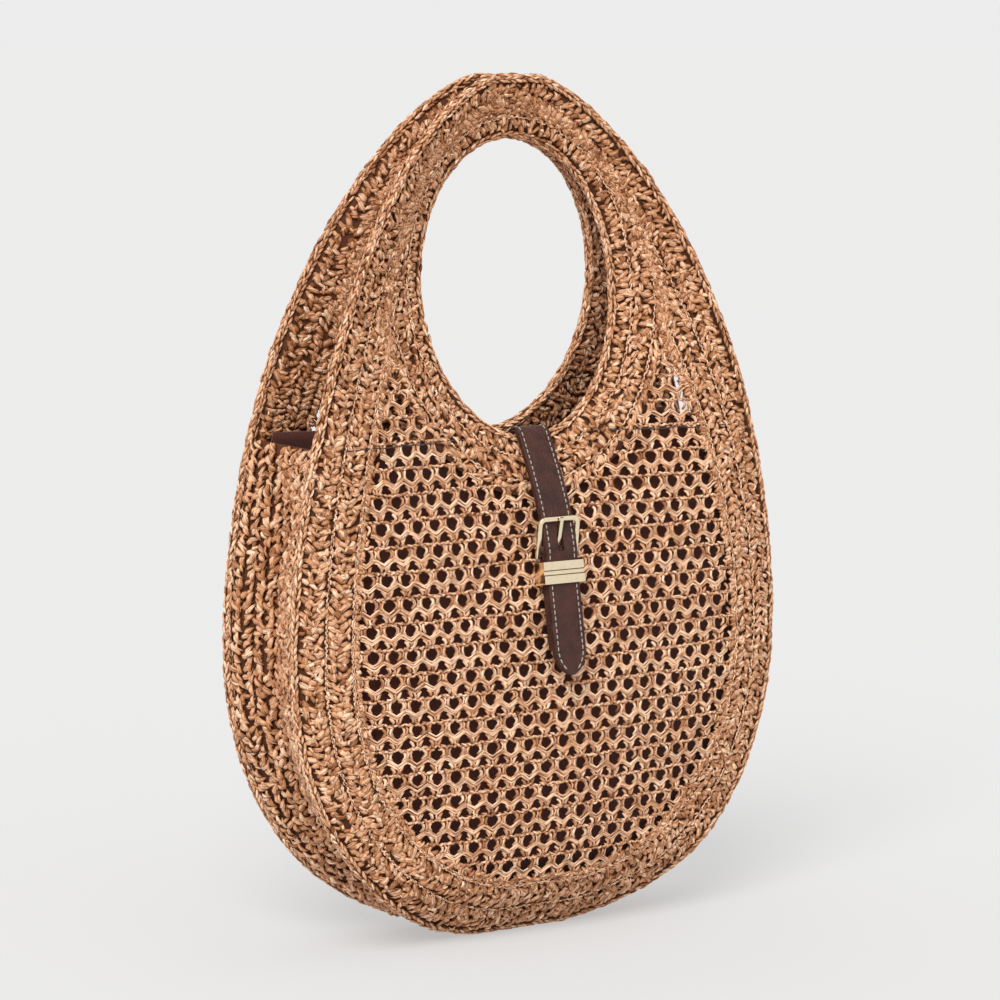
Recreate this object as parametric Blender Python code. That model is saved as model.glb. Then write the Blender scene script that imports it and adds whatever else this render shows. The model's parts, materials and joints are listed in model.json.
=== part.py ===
"""Crocheted hobo bag with a buckled closure strap, in metres, +Z up, standing on its flat base.

X runs across the bag, the front faces -Y, and the origin is under the middle of the bounding box.
Two egg-shaped panels, each with an oval handle opening, lean together at the top of the handle and
are held apart lower down by a gusset. A leather strap sewn inside the rear panel crosses the mouth,
bends over the front rim and closes on a magnetic snap. The buckle, its prong and the metal keeper
ride on that strap.
"""

import math

import bmesh
import bpy
import numpy as np

# Outline of a panel: a wide super-ellipse below the belly and a narrower one above it.
HEIGHT = 0.455
HALF_WIDTH = 0.152
BELLY_Z = 0.161
LOWER_POWER = 2.15
UPPER_POWER = 1.78
FLAT_CUT = 0.0018          # how much of the round bottom the weight of the bag flattens
TOP_CUT = 0.0025           # and how much is taken off the point of the handle

# Oval handle opening, measured to the inside of its rim cord.
HOLE_Z = 0.344
HOLE_HALF_WIDTH = 0.059
HOLE_HALF_HEIGHT = 0.0775

# Distance from the middle plane of the bag to the middle of a panel's cloth.
GUSSET_HALF = 0.0335       # at the outer edge, as far up as the gusset goes
TOP_HALF = 0.0105          # at the outer edge, on top of the handle
HOLE_BOTTOM_HALF = 0.022   # at the rim of the opening
HOLE_SIDE_HALF = 0.010
HOLE_TOP_HALF = 0.0032
BULGE = 0.025              # how far the body swells between the rim and the outline
TUCK = 0.0195              # how far a panel draws in at the bottom
TUCK_TOP = 0.050           # height at which that drawing in ends
SWAY = 0.005               # how far behind the middle plane the base sits

# Bands of crochet.
CLOTH = 0.004
EDGE_CORD = 0.005          # diameters of the chain-stitched edgings
RIM_CORD = 0.0045
BORDER_WIDTH = 0.033       # each with its cord
RING_WIDTH = 0.030
GAP = 0.0003               # left between pieces that touch
LEAST_FIELD = 0.003        # the openwork ends where it would be narrower

# Gusset and lining.
GUSSET_TOP = 0.268
GUSSET_FOLD = 0.010        # how far the gusset folds in between the panels
FOLD_STARTS = 0.030        # height over which the fold grows from the flat base
LINING = 0.001
LINING_INSET = 0.0052      # from the middle of the cloth to the middle of the lining
LINING_MARGIN = 0.0085     # from the outline to the lining
LINING_DIP = 0.014         # how far the lining's top edge dips under the handle opening
LINING_DIP_REACH = 0.050   # how far to either side that dip goes
LINING_RISE = 0.003        # how far it stands above the gusset
LINING_FACET = 0.0006      # room for the flats between the lining's grid lines
POCKET_HALF_WIDTH = 0.070
POCKET_BOTTOM = 0.095
POCKET_TOP = 0.205
POCKET_GAP = 0.0035

# Closure strap.
STRAP_WIDTH = 0.0194
STRAP_THICKNESS = 0.0028   # two plies glued and sewn through
LEATHER = 0.0013           # one ply, as in the chape and the patches
STRAP_TIP_Z = 0.143
TIP_LENGTH = 0.013
REAR_HINGE_Z = 0.240       # where the strap leaves the lining of the rear panel
ANCHOR_LENGTH = 0.034
RIM_CLEARANCE = 0.0012     # between the strap and the rim cord that it bends over
RIM_TURN = 60.0            # degrees of the rim cord that the strap bends round

# Buckle, keeper and snap. A level is a distance out from the middle of the front panel's cloth.
BAR_Z = 0.2052
BAR_LEVEL = 0.0065
BAR_RADIUS = 0.0010
BAR_CLEARANCE = 0.00025
FRAME_HEIGHT = 0.0183      # from the hinge bar up to the top bar
FRAME_ROOM = 0.0064        # how much wider the frame is than the strap
FRAME_WIDTH = STRAP_WIDTH + FRAME_ROOM
FRAME_WIRE = 0.0026
FRAME_DEPTH = 0.0020
FRAME_CORNER = 0.0028
PRONG_WIDTH = 0.0020
PRONG_THICKNESS = 0.0014
CHAPE_SLOT = 0.0040
CHAPE_NECK = 0.0034        # below the bar, where the two plies of the chape part
PRONG_SLOT = (0.0018, 0.0147)
PRONG_SLOT_WIDTH = 0.0034
KEEPER_ROOM = 0.0056       # how much wider the keeper is than the strap
KEEPER_WIDTH = STRAP_WIDTH + KEEPER_ROOM
KEEPER_HEIGHT = 0.0116
KEEPER_WALL = 0.0012
KEEPER_BAR = 0.0009
KEEPER_GROOVE = 0.0016
KEEPER_GAP = 0.0005
CHAPE_TIP_Z = 0.1565
SNAP_Z = 0.165
SNAP_RADIUS = 0.007
SNAP_PLATE = 0.0009
SNAP_STUD_RADIUS = 0.0018
SNAP_HOLE_RADIUS = 0.0032
SNAP_SEAT = 0.0007         # behind the cloth, whose hollow side a flat washer bridges
PATCH_HALF = 0.014

# How finely the soft pieces are divided.
AROUND = 60
ACROSS_FIELD = 7
CORD_SIDES = 6
OUTLINE_SAMPLES = 1441


# ---------------------------------------------------------------- shape of the bag

def outline(inset=0.0):
    """Closed outline, anticlockwise from the bottom, as (x, z) rows, moved in by inset."""
    turn = np.linspace(0.0, 2 * math.pi, OUTLINE_SAMPLES)[:-1]
    side, down = np.sin(turn), np.cos(turn)
    low = down > 0
    power = np.where(low, LOWER_POWER, UPPER_POWER)
    reach = np.where(low, BELLY_Z + FLAT_CUT, HEIGHT + TOP_CUT - BELLY_Z)
    x = HALF_WIDTH * np.sign(side) * np.abs(side) ** (2 / power)
    z = BELLY_Z - np.sign(down) * reach * np.abs(down) ** (2 / power)
    points = even(np.stack([x, z], axis=1), OUTLINE_SAMPLES - 1)
    points = offset(points, -inset)
    points[:, 1] = np.clip(points[:, 1], inset, HEIGHT - inset)
    return points


def even(points, count):
    """A closed line again, with count points at equal distances."""
    ring = np.vstack([points, points[:1]])
    along = np.concatenate([[0], np.cumsum(np.linalg.norm(np.diff(ring, axis=0), axis=1))])
    at = np.linspace(0, along[-1], count + 1)[:-1]
    return np.stack([np.interp(at, along, ring[:, k]) for k in range(2)], axis=1)


def offset(points, distance):
    """A closed anticlockwise line moved outwards by distance."""
    ahead = np.roll(points, -1, axis=0) - np.roll(points, 1, axis=0)
    out = np.stack([ahead[:, 1], -ahead[:, 0]], axis=1)
    return points + distance * out / np.linalg.norm(out, axis=1)[:, None]


def hole(outset=0.0):
    turn = np.linspace(0.0, 2 * math.pi, OUTLINE_SAMPLES)[:-1]
    points = np.stack(
        [HOLE_HALF_WIDTH * np.sin(turn), HOLE_Z - HOLE_HALF_HEIGHT * np.cos(turn)], axis=1
    )
    return offset(points, outset)


def radius_from_hole(points, bearing):
    """Distance from the opening's centre to a closed line, by bearing from straight down."""
    angle = np.arctan2(points[:, 0], HOLE_Z - points[:, 1])
    order = np.argsort(angle)
    far = np.hypot(points[:, 0], points[:, 1] - HOLE_Z)
    return np.interp(bearing, angle[order], far[order], period=2 * math.pi)


def edge_half(z):
    """Half the distance between the panels at their outer edges."""
    rise = np.clip((HEIGHT - z) / (HEIGHT - GUSSET_TOP), 0, 1)
    return TOP_HALF + (GUSSET_HALF - TOP_HALF) * np.sin(rise * math.pi / 2)


def tuck(z):
    """How far a panel draws in towards the flat base at height z."""
    return TUCK * np.clip(1 - z / TUCK_TOP, 0, 1) ** 2


def sway(z):
    """How far the cloth at height z lies behind the middle plane of the bag."""
    return SWAY * np.clip(1 - z / TUCK_TOP, 0, 1) ** 2


def rim_half(z):
    """Half the distance between the panels at the rim: a parabola by its bottom, side and top."""
    up = (z - HOLE_Z) / HOLE_HALF_HEIGHT
    middle = HOLE_SIDE_HALF
    slope = (HOLE_TOP_HALF - HOLE_BOTTOM_HALF) / 2
    curve = (HOLE_TOP_HALF + HOLE_BOTTOM_HALF) / 2 - middle
    return middle + slope * up + curve * up * up


def cloth_half(x, z):
    """Distance from the bag's middle plane to the middle of a panel's cloth at (x, z)."""
    bearing = np.arctan2(x, HOLE_Z - z)
    inner = radius_from_hole(HOLE_LINE, bearing)
    outer = radius_from_hole(OUTLINE, bearing)
    share = np.clip((np.hypot(x, z - HOLE_Z) - inner) / (outer - inner), 0, 1)
    rim = rim_half(HOLE_Z - inner * np.cos(bearing))
    edge = edge_half(HOLE_Z - outer * np.cos(bearing))
    swell = BULGE * 4 * share * (1 - share) * np.clip(np.cos(bearing), 0, 1) ** 2
    return rim + (edge - rim) * share + swell - tuck(z)


OUTLINE = outline()
HOLE_LINE = hole()


# ---------------------------------------------------------------- materials and objects

def material(name, colour, roughness, metallic=0.0):
    made = bpy.data.materials.new(name)
    made.use_nodes = True
    shader = made.node_tree.nodes["Principled BSDF"]
    shader.inputs["Base Color"].default_value = (*colour, 1.0)
    shader.inputs["Roughness"].default_value = roughness
    shader.inputs["Metallic"].default_value = metallic
    return made


def clear_scene():
    for thing in list(bpy.data.objects):
        bpy.data.objects.remove(thing)


def axis(name, y=0.0, z=0.0, parent=None):
    """An empty at (0, y, z) of the bag, which the pieces that turn about it hang on."""
    made = bpy.data.objects.new(name, None)
    bpy.context.scene.collection.objects.link(made)
    PLACE[name] = np.array([0.0, y, z])
    made.location = PLACE[name] - (PLACE[parent.name] if parent else 0.0)
    made.parent = parent
    return made


def add(name, points, faces, look, holder):
    """An object of those points and faces, in bag coordinates, hung on its holder."""
    mesh = bpy.data.meshes.new(name)
    mesh.from_pydata([tuple(p) for p in np.asarray(points, float) - PLACE[holder.name]], [], faces)
    shape = bmesh.new()
    shape.from_mesh(mesh)
    loose = [point for point in shape.verts if not point.link_faces]
    bmesh.ops.delete(shape, geom=loose, context="VERTS")
    bmesh.ops.connect_verts_nonplanar(shape, faces=shape.faces, angle_limit=math.radians(0.2))
    bmesh.ops.recalc_face_normals(shape, faces=shape.faces)
    if shape.calc_volume(signed=True) < 0:
        bmesh.ops.reverse_faces(shape, faces=shape.faces)
    shape.to_mesh(mesh)
    shape.free()
    mesh.shade_smooth()
    mesh.set_sharp_from_angle(angle=math.radians(40))
    mesh.materials.append(look)
    made = bpy.data.objects.new(name, mesh)
    bpy.context.scene.collection.objects.link(made)
    made.parent = holder
    return made


def plate(name, outer, inner, look, holder, wrap=False, missing=()):
    """A closed solid between two grids of points; the cells named in missing are left open."""
    count, across = outer.shape[:2]
    points = np.concatenate([outer.reshape(-1, 3), inner.reshape(-1, 3)])
    back = count * across
    steps = count if wrap else count - 1
    cells = {(i, k) for i in range(steps) for k in range(across - 1)} - set(missing)
    faces = []
    for i, k in sorted(cells):
        j = (i + 1) % count
        a, b, c, d = i * across + k, j * across + k, j * across + k + 1, i * across + k + 1
        faces.append((a, b, c, d))
        faces.append((back + d, back + c, back + b, back + a))
        before = ((i - 1) % count if wrap else i - 1, k)
        after = (j if wrap else i + 1, k)
        for beside, (p, q) in (
            ((i, k - 1), (a, b)), ((i, k + 1), (c, d)), (after, (b, c)), (before, (d, a)),
        ):
            if beside not in cells:
                faces.append((p, back + p, back + q, q))
    return add(name, points, faces, look, holder)


def tube(name, centre, radius, look, holder):
    """A closed loop of cord along centre, an array of points."""
    ahead = np.roll(centre, -1, axis=0) - np.roll(centre, 1, axis=0)
    ahead /= np.linalg.norm(ahead, axis=1)[:, None]
    side = np.cross(ahead, [0.0, 1.0, 0.0])
    side /= np.linalg.norm(side, axis=1)[:, None]
    up = np.cross(side, ahead)
    turn = np.arange(CORD_SIDES) * 2 * math.pi / CORD_SIDES
    rings = (
        centre[:, None]
        + radius * np.cos(turn)[None, :, None] * side[:, None]
        + radius * np.sin(turn)[None, :, None] * up[:, None]
    )
    return loft(name, rings, look, holder, wrap=True)


def loft(name, rings, look, holder, wrap=False):
    """A solid through a row of rings of points, closed by a flat face at either end."""
    count, sides = rings.shape[:2]
    faces = []
    for i in range(count if wrap else count - 1):
        j = (i + 1) % count
        for k in range(sides):
            m = (k + 1) % sides
            faces.append((i * sides + k, i * sides + m, j * sides + m, j * sides + k))
    if not wrap:
        faces.append(tuple(range(sides)))
        faces.append(tuple(range((count - 1) * sides, count * sides)))
    return add(name, rings.reshape(-1, 3), faces, look, holder)


def on_panel(x, z, level, face):
    """Points at a level out from the middle of a panel's cloth; face is -1 front, 1 rear."""
    return np.stack([x, face * (cloth_half(x, z) + level) + sway(z), z + 0.0 * x], axis=-1)


def polar(bearing, radius):
    return radius * np.sin(bearing), HOLE_Z - radius * np.cos(bearing)


# ---------------------------------------------------------------- panels

def band(name, bearing, near, far, across, look, face, wrap):
    """A sheet of cloth between two radii from the opening's centre."""
    share = np.linspace(0, 1, across + 1)
    radius = near[:, None] + (far - near)[:, None] * share
    x, z = polar(bearing[:, None] * np.ones_like(share), radius)
    plate(
        name, on_panel(x, z, CLOTH / 2, face), on_panel(x, z, -CLOTH / 2, face), look, BAG, wrap
    )


def ring_outside(bearing):
    """Outer edge of the ring, which shares the room with the border on top of the handle."""
    near = radius_from_hole(hole(RIM_CORD), bearing)
    far = radius_from_hole(outline(EDGE_CORD), bearing)
    return np.minimum(radius_from_hole(hole(RING_WIDTH), bearing), (near + far) / 2)


def border_inside(bearing):
    free = radius_from_hole(outline(BORDER_WIDTH), bearing)
    return np.maximum(free, ring_outside(bearing) + GAP)


def field_end():
    """Bearing of the two horns in which the openwork ends."""
    bearing = np.linspace(0, math.pi, OUTLINE_SAMPLES)
    room = border_inside(bearing) - ring_outside(bearing) - 2 * GAP
    return bearing[np.argmax(room < LEAST_FIELD)]


def spokes():
    """Bearings at which bands and cords have their corners, the horns of the openwork included."""
    points = even(outline(EDGE_CORD), AROUND)
    around = np.arctan2(points[:, 0], HOLE_Z - points[:, 1])
    end = field_end()
    return np.sort(np.concatenate([around, [-end, end]]))


def panel(side, face):
    at = spokes()
    band(
        side + "_border_band", at, border_inside(at),
        radius_from_hole(outline(EDGE_CORD + GAP), at), 2, STRAW, face, True,
    )
    band(
        side + "_handle_ring", at, radius_from_hole(hole(RIM_CORD + GAP), at),
        ring_outside(at), 1, STRAW, face, True,
    )
    open_at = at[np.abs(at) <= field_end()]
    band(
        side + "_mesh_field", open_at, ring_outside(open_at) + GAP,
        border_inside(open_at) - GAP, ACROSS_FIELD, OPENWORK, face, False,
    )
    for name, line, cord in (
        ("_edge_cord", outline(EDGE_CORD / 2), EDGE_CORD),
        ("_rim_cord", hole(RIM_CORD / 2), RIM_CORD),
    ):
        x, z = polar(at, radius_from_hole(line, at))
        tube(side + name, on_panel(x, z, 0.0, face), cord / 2, STRAW, BAG)


# ---------------------------------------------------------------- gusset and lining

def below(line, top, count):
    """Points at equal distances along the part of a closed line that lies below top."""
    turned = np.roll(line, len(line) // 2, axis=0)
    kept = turned[turned[:, 1] < top]
    along = np.concatenate([[0], np.cumsum(np.linalg.norm(np.diff(kept, axis=0), axis=1))])
    at = np.linspace(0, along[-1], count)
    return np.stack([np.interp(at, along, kept[:, k]) for k in range(2)], axis=1)


def half_width(z, inset):
    """Half the width of the outline, moved in by inset, at height z."""
    right = outline(inset)[: OUTLINE_SAMPLES // 2]
    return np.interp(z, right[:, 1], right[:, 0])


def strip(name, inset, seam, half, thickness, count, across, look):
    """A strip round the bottom and sides, half as wide as it says, folded in along its middle."""
    line = below(outline(inset), GUSSET_TOP, count)
    ahead = np.gradient(line, axis=0)
    inward = np.stack([-ahead[:, 1], ahead[:, 0]], axis=1)
    inward /= np.linalg.norm(inward, axis=1)[:, None]
    grown = np.clip((line[:, 1] - inset) / FOLD_STARTS, 0, 1)[:, None]
    seam_z = line[:, 1] + seam * inward[:, 1]
    room = (half - tuck(seam_z))[:, None]
    back = sway(seam_z)[:, None]
    share = np.linspace(-1, 1, across + 1)

    def grid(extra):
        push = grown * (seam + GUSSET_FOLD * (1 - share**2)) + extra
        x = line[:, 0, None] + inward[:, 0, None] * push
        z = line[:, 1, None] + inward[:, 1, None] * push
        return np.stack([x, room * share + back, z], axis=-1)

    plate(name, grid(0.0), grid(thickness), look, BAG)


def lining_sheet(name, face):
    """One face of the lining, from its bottom seam to its top edge, which dips in the middle."""
    across = np.linspace(-1, 1, 11)
    rise = np.linspace(0, 1, 13) ** 1.4
    inset = CLOTH + LINING_MARGIN
    z = (inset + (GUSSET_TOP - inset) * rise)[:, None] * np.ones_like(across)
    x = half_width(z, inset) * across
    lift = np.clip((z - POCKET_TOP) / (GUSSET_TOP - POCKET_TOP), 0, 1)
    z = z + lift * (LINING_RISE - LINING_DIP * np.exp(-((x / LINING_DIP_REACH) ** 2)))
    outer = on_panel(x, z, -LINING_INSET + LINING / 2, face)
    inner = on_panel(x, z, -LINING_INSET - LINING / 2, face)
    plate(name, outer, inner, LINING_CLOTH, BAG)


def patch(name, z, half, level, thickness, look, face):
    """A square on a panel, centred at height z and half as wide as it says."""
    reach = np.linspace(-half, half, 5)
    x, high = reach[None, :] * np.ones((5, 1)), z + reach[:, None] * np.ones((1, 5))
    plate(
        name, on_panel(x, high, level + thickness / 2, face),
        on_panel(x, high, level - thickness / 2, face), look, BAG,
    )


def lining():
    lining_sheet("lining_front", -1)
    lining_sheet("lining_rear", 1)
    inside = GUSSET_HALF - LINING_INSET - LINING / 2 - GAP
    strip("lining_gusset", LINING_MARGIN, 0.0, inside, LINING, 41, 4, LINING_CLOTH)
    x = np.linspace(-POCKET_HALF_WIDTH, POCKET_HALF_WIDTH, 9)[None, :] * np.ones((7, 1))
    z = np.linspace(POCKET_BOTTOM, POCKET_TOP, 7)[:, None] * np.ones((1, 9))
    level = -LINING_INSET - POCKET_GAP
    plate(
        "lining_pocket", on_panel(x, z, level + LINING / 2, 1),
        on_panel(x, z, level - LINING / 2, 1), LINING_CLOTH, BAG,
    )


# ---------------------------------------------------------------- closure strap

def depth(z):
    """Middle of the front panel's cloth on the bag's centre line, as a y coordinate."""
    return -float(cloth_half(0.0, z))


class Tail:
    """Straight line on the front panel that the end of the strap and its metalwork lie along."""

    def __init__(self, z):
        step = 0.001
        up = np.array([depth(z + step) - depth(z - step), 2 * step])
        self.up = up / np.linalg.norm(up)
        self.out = np.array([-self.up[1], self.up[0]])
        self.start = np.array([depth(z), z])

    def at(self, z, level, along=0.0):
        """(y, z) of the point a level out from the line at height z, then along it."""
        foot = self.start + self.up * (z - self.start[1]) / self.up[1]
        return foot + self.up * along + self.out * level


def hermite(start, end, leave, arrive, count):
    t = np.linspace(0, 1, count)[:, None]
    return (
        (2 * t**3 - 3 * t**2 + 1) * start + (t**3 - 2 * t**2 + t) * leave
        + (3 * t**2 - 2 * t**3) * end + (t**3 - t**2) * arrive
    )


def normals(line):
    """Unit normals to the left of the way along a line of (y, z) points."""
    ahead = np.gradient(line, axis=0)
    ahead /= np.linalg.norm(ahead, axis=1)[:, None]
    return np.stack([-ahead[:, 1], ahead[:, 0]], axis=1)


def nose(centre, ahead, thickness):
    """Stations of a rounded end about centre, as (points, half thicknesses)."""
    turn = np.radians([12.0, 35.0, 62.0])
    points = centre - np.cos(turn)[:, None] * ahead * thickness / 2
    return points, np.sin(turn) * thickness / 2


def ribbon(name, line, halves, widths, look, holder, columns=(-1.0, 1.0), missing=()):
    """Leather along a line of (y, z) points, with its half thickness and half width at each."""
    away = normals(line) * np.asarray(halves)[:, None]
    x = np.asarray(widths)[:, None] * np.asarray(columns)[None, :]

    def face(points):
        y = points[:, 0, None] + 0.0 * x
        z = points[:, 1, None] + 0.0 * x
        return np.stack([x, y, z], axis=-1)

    plate(name, face(line + away), face(line - away), look, holder, missing=missing)


def strap_level_over_bar():
    return BAR_LEVEL + BAR_RADIUS + BAR_CLEARANCE + LEATHER + GAP + STRAP_THICKNESS / 2


def strap_level():
    """Middle of the strap where it lies on the chape."""
    return BAR_LEVEL + GAP / 2 + LEATHER + GAP + STRAP_THICKNESS / 2


def rim_centre():
    """Middle of the rim cord under the strap's edges, where it has curved up a little."""
    z = HOLE_Z - HOLE_HALF_HEIGHT - RIM_CORD / 2
    rise = HOLE_HALF_HEIGHT * (1 - math.sqrt(1 - (STRAP_WIDTH / 2 / HOLE_HALF_WIDTH) ** 2))
    return np.array([depth(z), z + rise])


def front_hinge():
    return rim_centre() + np.array([0.0, RIM_CORD / 2 + RIM_CLEARANCE + STRAP_THICKNESS / 2])


def strap_inset():
    """From the middle of the rear panel's cloth to the middle of the strap inside it."""
    slope = math.atan((depth(REAR_HINGE_Z) - depth(REAR_HINGE_Z - ANCHOR_LENGTH)) / ANCHOR_LENGTH)
    return LINING_INSET + LINING / 2 + LINING_FACET + (GAP + STRAP_THICKNESS / 2) / math.cos(slope)


def rear_hinge():
    return np.array([-depth(REAR_HINGE_Z) - strap_inset(), REAR_HINGE_Z])


def front_line():
    """Middle line of the strap from the rim hinge down to its tip, finely divided."""
    turn = np.radians(90.0 + np.linspace(0, RIM_TURN, 25))
    radius = front_hinge()[1] - rim_centre()[1]
    bend = rim_centre() + radius * np.stack([np.cos(turn), np.sin(turn)], axis=1)
    over = TAIL.at(BAR_Z, strap_level_over_bar())
    reach = np.linalg.norm(over - bend[-1])
    leave = reach * np.array([-np.sin(turn[-1]), np.cos(turn[-1])])
    fall = hermite(bend[-1], over, leave, -TAIL.up * reach, 60)
    flat = TAIL.at(BAR_Z, strap_level(), -CHAPE_NECK)
    drop = hermite(over, flat, -TAIL.up * CHAPE_NECK, -TAIL.up * CHAPE_NECK, 12)
    tip = TAIL.at(STRAP_TIP_Z, strap_level())
    end = flat + np.linspace(0, 1, 60)[:, None] * (tip - flat)
    return np.concatenate([bend, fall[1:], drop[1:], end[1:]])


def along_tail(points):
    """Distance of (y, z) points up the tail from the hinge bar."""
    return (points - TAIL.at(BAR_Z, 0.0)) @ TAIL.up


def strap_at(along):
    """Middle of the strap at a distance up the tail from the hinge bar."""
    line = front_line()
    return np.array([np.interp(-along, -along_tail(line), line[:, k]) for k in range(2)])


def closure_strap():
    half = STRAP_THICKNESS / 2
    wide = STRAP_WIDTH / 2
    down = np.linspace(REAR_HINGE_Z, REAR_HINGE_Z - ANCHOR_LENGTH, 120)
    line = np.stack([-np.array([depth(z) for z in down]) - strap_inset(), down], axis=1)
    gone = np.linalg.norm(line - line[0], axis=1)
    line = line[gone > half + GAP][::16]
    ribbon(
        "strap_anchor", line, np.full(len(line), half), np.full(len(line), wide), LEATHER_LOOK, BAG
    )
    patch(
        "strap_anchor_patch", REAR_HINGE_Z - ANCHOR_LENGTH / 2, PATCH_HALF,
        -(CLOTH / 2 + LINING_INSET - LINING / 2) / 2, LEATHER, LEATHER_LOOK, 1,
    )

    start, end = rear_hinge(), front_hinge()
    ahead = (end - start) / np.linalg.norm(end - start)
    points, thin = nose(start, ahead, STRAP_THICKNESS)
    span = start + np.linspace(0, 1, 7)[:, None] * (end - ahead * (half + GAP) - start)
    line = np.concatenate([points, span])
    halves = np.concatenate([thin, np.full(len(span), half)])
    ribbon("strap_bridge", line, halves, np.full(len(line), wide), LEATHER_LOOK, LIFT)

    fine = front_line()
    gone = along_tail(fine)
    top, bottom = PRONG_SLOT[1], PRONG_SLOT[0]
    low = along_tail(fine[-1:])[0]
    tip = low + TIP_LENGTH * (1 - np.array([0.0, 0.3, 0.55, 0.75, 0.9, 1.0]))
    stations = np.concatenate([
        np.linspace(gone[24], top + 0.004, 7), [top, (top + bottom) / 2, bottom],
        [0.0, -CHAPE_NECK / 2, -CHAPE_NECK], np.linspace(-CHAPE_NECK, tip[0], 5)[1:-1], tip,
    ])
    line = np.array([strap_at(value) for value in stations])
    line = np.concatenate([fine[0:24:6], line])
    points, thin = nose(fine[0], np.array([-1.0, 0.0]), STRAP_THICKNESS)
    line = np.concatenate([points, line])
    halves = np.concatenate([thin, np.full(len(line) - len(thin), half)])
    widths = np.full(len(line), wide)
    t = (tip[0] - tip) / TIP_LENGTH
    widths[-len(tip):] = np.maximum(wide * (1 - t**1.7) ** 0.7, wide * 0.12)
    columns = np.array([-1.0, -PRONG_SLOT_WIDTH / STRAP_WIDTH, PRONG_SLOT_WIDTH / STRAP_WIDTH, 1.0])
    first = len(points) + 4 + 7
    ribbon(
        "strap_flap", line, halves, widths, LEATHER_LOOK, FLAP, columns,
        missing=[(first, 1), (first + 1, 1)],
    )


# ---------------------------------------------------------------- buckle, keeper and snap

def chape():
    """A strip folded round the hinge bar and sewn to the back of the strap."""
    bar = BAR_RADIUS + BAR_CLEARANCE + LEATHER / 2
    apart = (LEATHER + GAP) / 2
    tip = along_tail(TAIL.at(CHAPE_TIP_Z, 0.0)[None])[0]
    turn = np.radians([0, 36, 72, 108, 144, 180])
    side = [(tip, apart), (tip * 0.6, apart), (-CHAPE_NECK, apart), (-CHAPE_NECK / 2, (apart + bar) / 2)]
    way = np.array(
        side + [(bar * np.sin(t), bar * np.cos(t)) for t in turn]
        + [(u, -v) for u, v in reversed(side)]
    )
    line = np.array([TAIL.at(BAR_Z, BAR_LEVEL + v, u) for u, v in way])
    slot = CHAPE_SLOT / STRAP_WIDTH
    first, last = 2, len(way) - 3
    count = len(way)
    ribbon(
        "buckle_chape", line, np.full(count, LEATHER / 2), np.full(count, STRAP_WIDTH / 2),
        LEATHER_LOOK, FLAP, (-1.0, -slot, slot, 1.0), [(i, 1) for i in range(first, last)],
    )


def top_bar_level():
    """Middle of the frame's top bar, just clear of the strap it lies over."""
    middle = (strap_at(FRAME_HEIGHT) - TAIL.at(BAR_Z, 0.0)) @ TAIL.out
    return middle + STRAP_THICKNESS / 2 * 1.1 + 2 * GAP + FRAME_DEPTH / 2


def space(x, y_z):
    return np.array([x, y_z[0], y_z[1]])


def buckle():
    bar = TAIL.at(BAR_Z, BAR_LEVEL)
    top = TAIL.at(BAR_Z, top_bar_level(), FRAME_HEIGHT)
    rise = np.linalg.norm(top - bar)
    up = (top - bar) / rise
    out = np.array([-up[1], up[0]])
    arm = (FRAME_WIDTH - FRAME_WIRE) / 2
    turn = np.radians([0, 30, 60, 90])
    corner = np.stack([
        arm - FRAME_CORNER * (1 - np.cos(turn)), rise - FRAME_CORNER * (1 - np.sin(turn)),
    ], axis=1)
    half = [(arm, -FRAME_WIRE / 2), (arm, rise / 2)] + [tuple(p) for p in corner]
    way = np.array(half + [(-x, u) for x, u in reversed(half)])
    ahead = np.gradient(way, axis=0)
    ahead /= np.linalg.norm(ahead, axis=1)[:, None]
    side = np.stack([ahead[:, 1], -ahead[:, 0]], axis=1)
    cut = 0.62
    section = [(1, cut), (cut, 1), (-cut, 1), (-1, cut), (-1, -cut), (-cut, -1), (cut, -1), (1, -cut)]
    rings = np.array([
        [
            space(x + s[0] * a * FRAME_WIRE / 2,
                  bar + up * (u + s[1] * a * FRAME_WIRE / 2) + out * b * FRAME_DEPTH / 2)
            for a, b in section
        ]
        for (x, u), s in zip(way, side)
    ])
    loft("buckle_frame", rings, GOLD, FLAP)

    turn = np.arange(12) * math.pi / 6
    reach = arm - FRAME_WIRE / 2 - GAP
    rod = [
        [space(x, bar + BAR_RADIUS * (math.cos(t) * TAIL.up + math.sin(t) * TAIL.out)) for t in turn]
        for x in (-reach, reach)
    ]
    loft("buckle_hinge_bar", np.array(rod), STEEL, FLAP)

    near = BAR_RADIUS + BAR_CLEARANCE
    far = near + PRONG_THICKNESS
    lift = math.asin(
        ((FRAME_DEPTH + PRONG_THICKNESS) / 2 + GAP) / (rise - FRAME_WIRE / 2)
    )
    way = math.cos(lift) * up + math.sin(lift) * out
    length = rise + FRAME_WIRE / 2
    left = np.array([-way[1], way[0]])
    root = math.asin(PRONG_THICKNESS / 2 / far)
    turns = np.concatenate([[root], np.linspace(root, 2 * math.pi - root, 13)[1:-1], [-root]])
    grid = []
    for t in turns:
        ray = math.cos(t) * way + math.sin(t) * left
        end = way * length + left * math.sin(t) * far
        grid.append([bar + near * ray, bar + far * ray, bar + end])
    grid = np.array(grid)
    sides = [
        np.concatenate([np.full(grid.shape[:2] + (1,), x), grid], axis=-1)
        for x in (PRONG_WIDTH / 2, -PRONG_WIDTH / 2)
    ]
    last = len(turns) - 1
    plate(
        "buckle_prong", sides[0], sides[1], GOLD, PRONG, wrap=True,
        missing=[(i, 1) for i in range(last)],
    )


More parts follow.
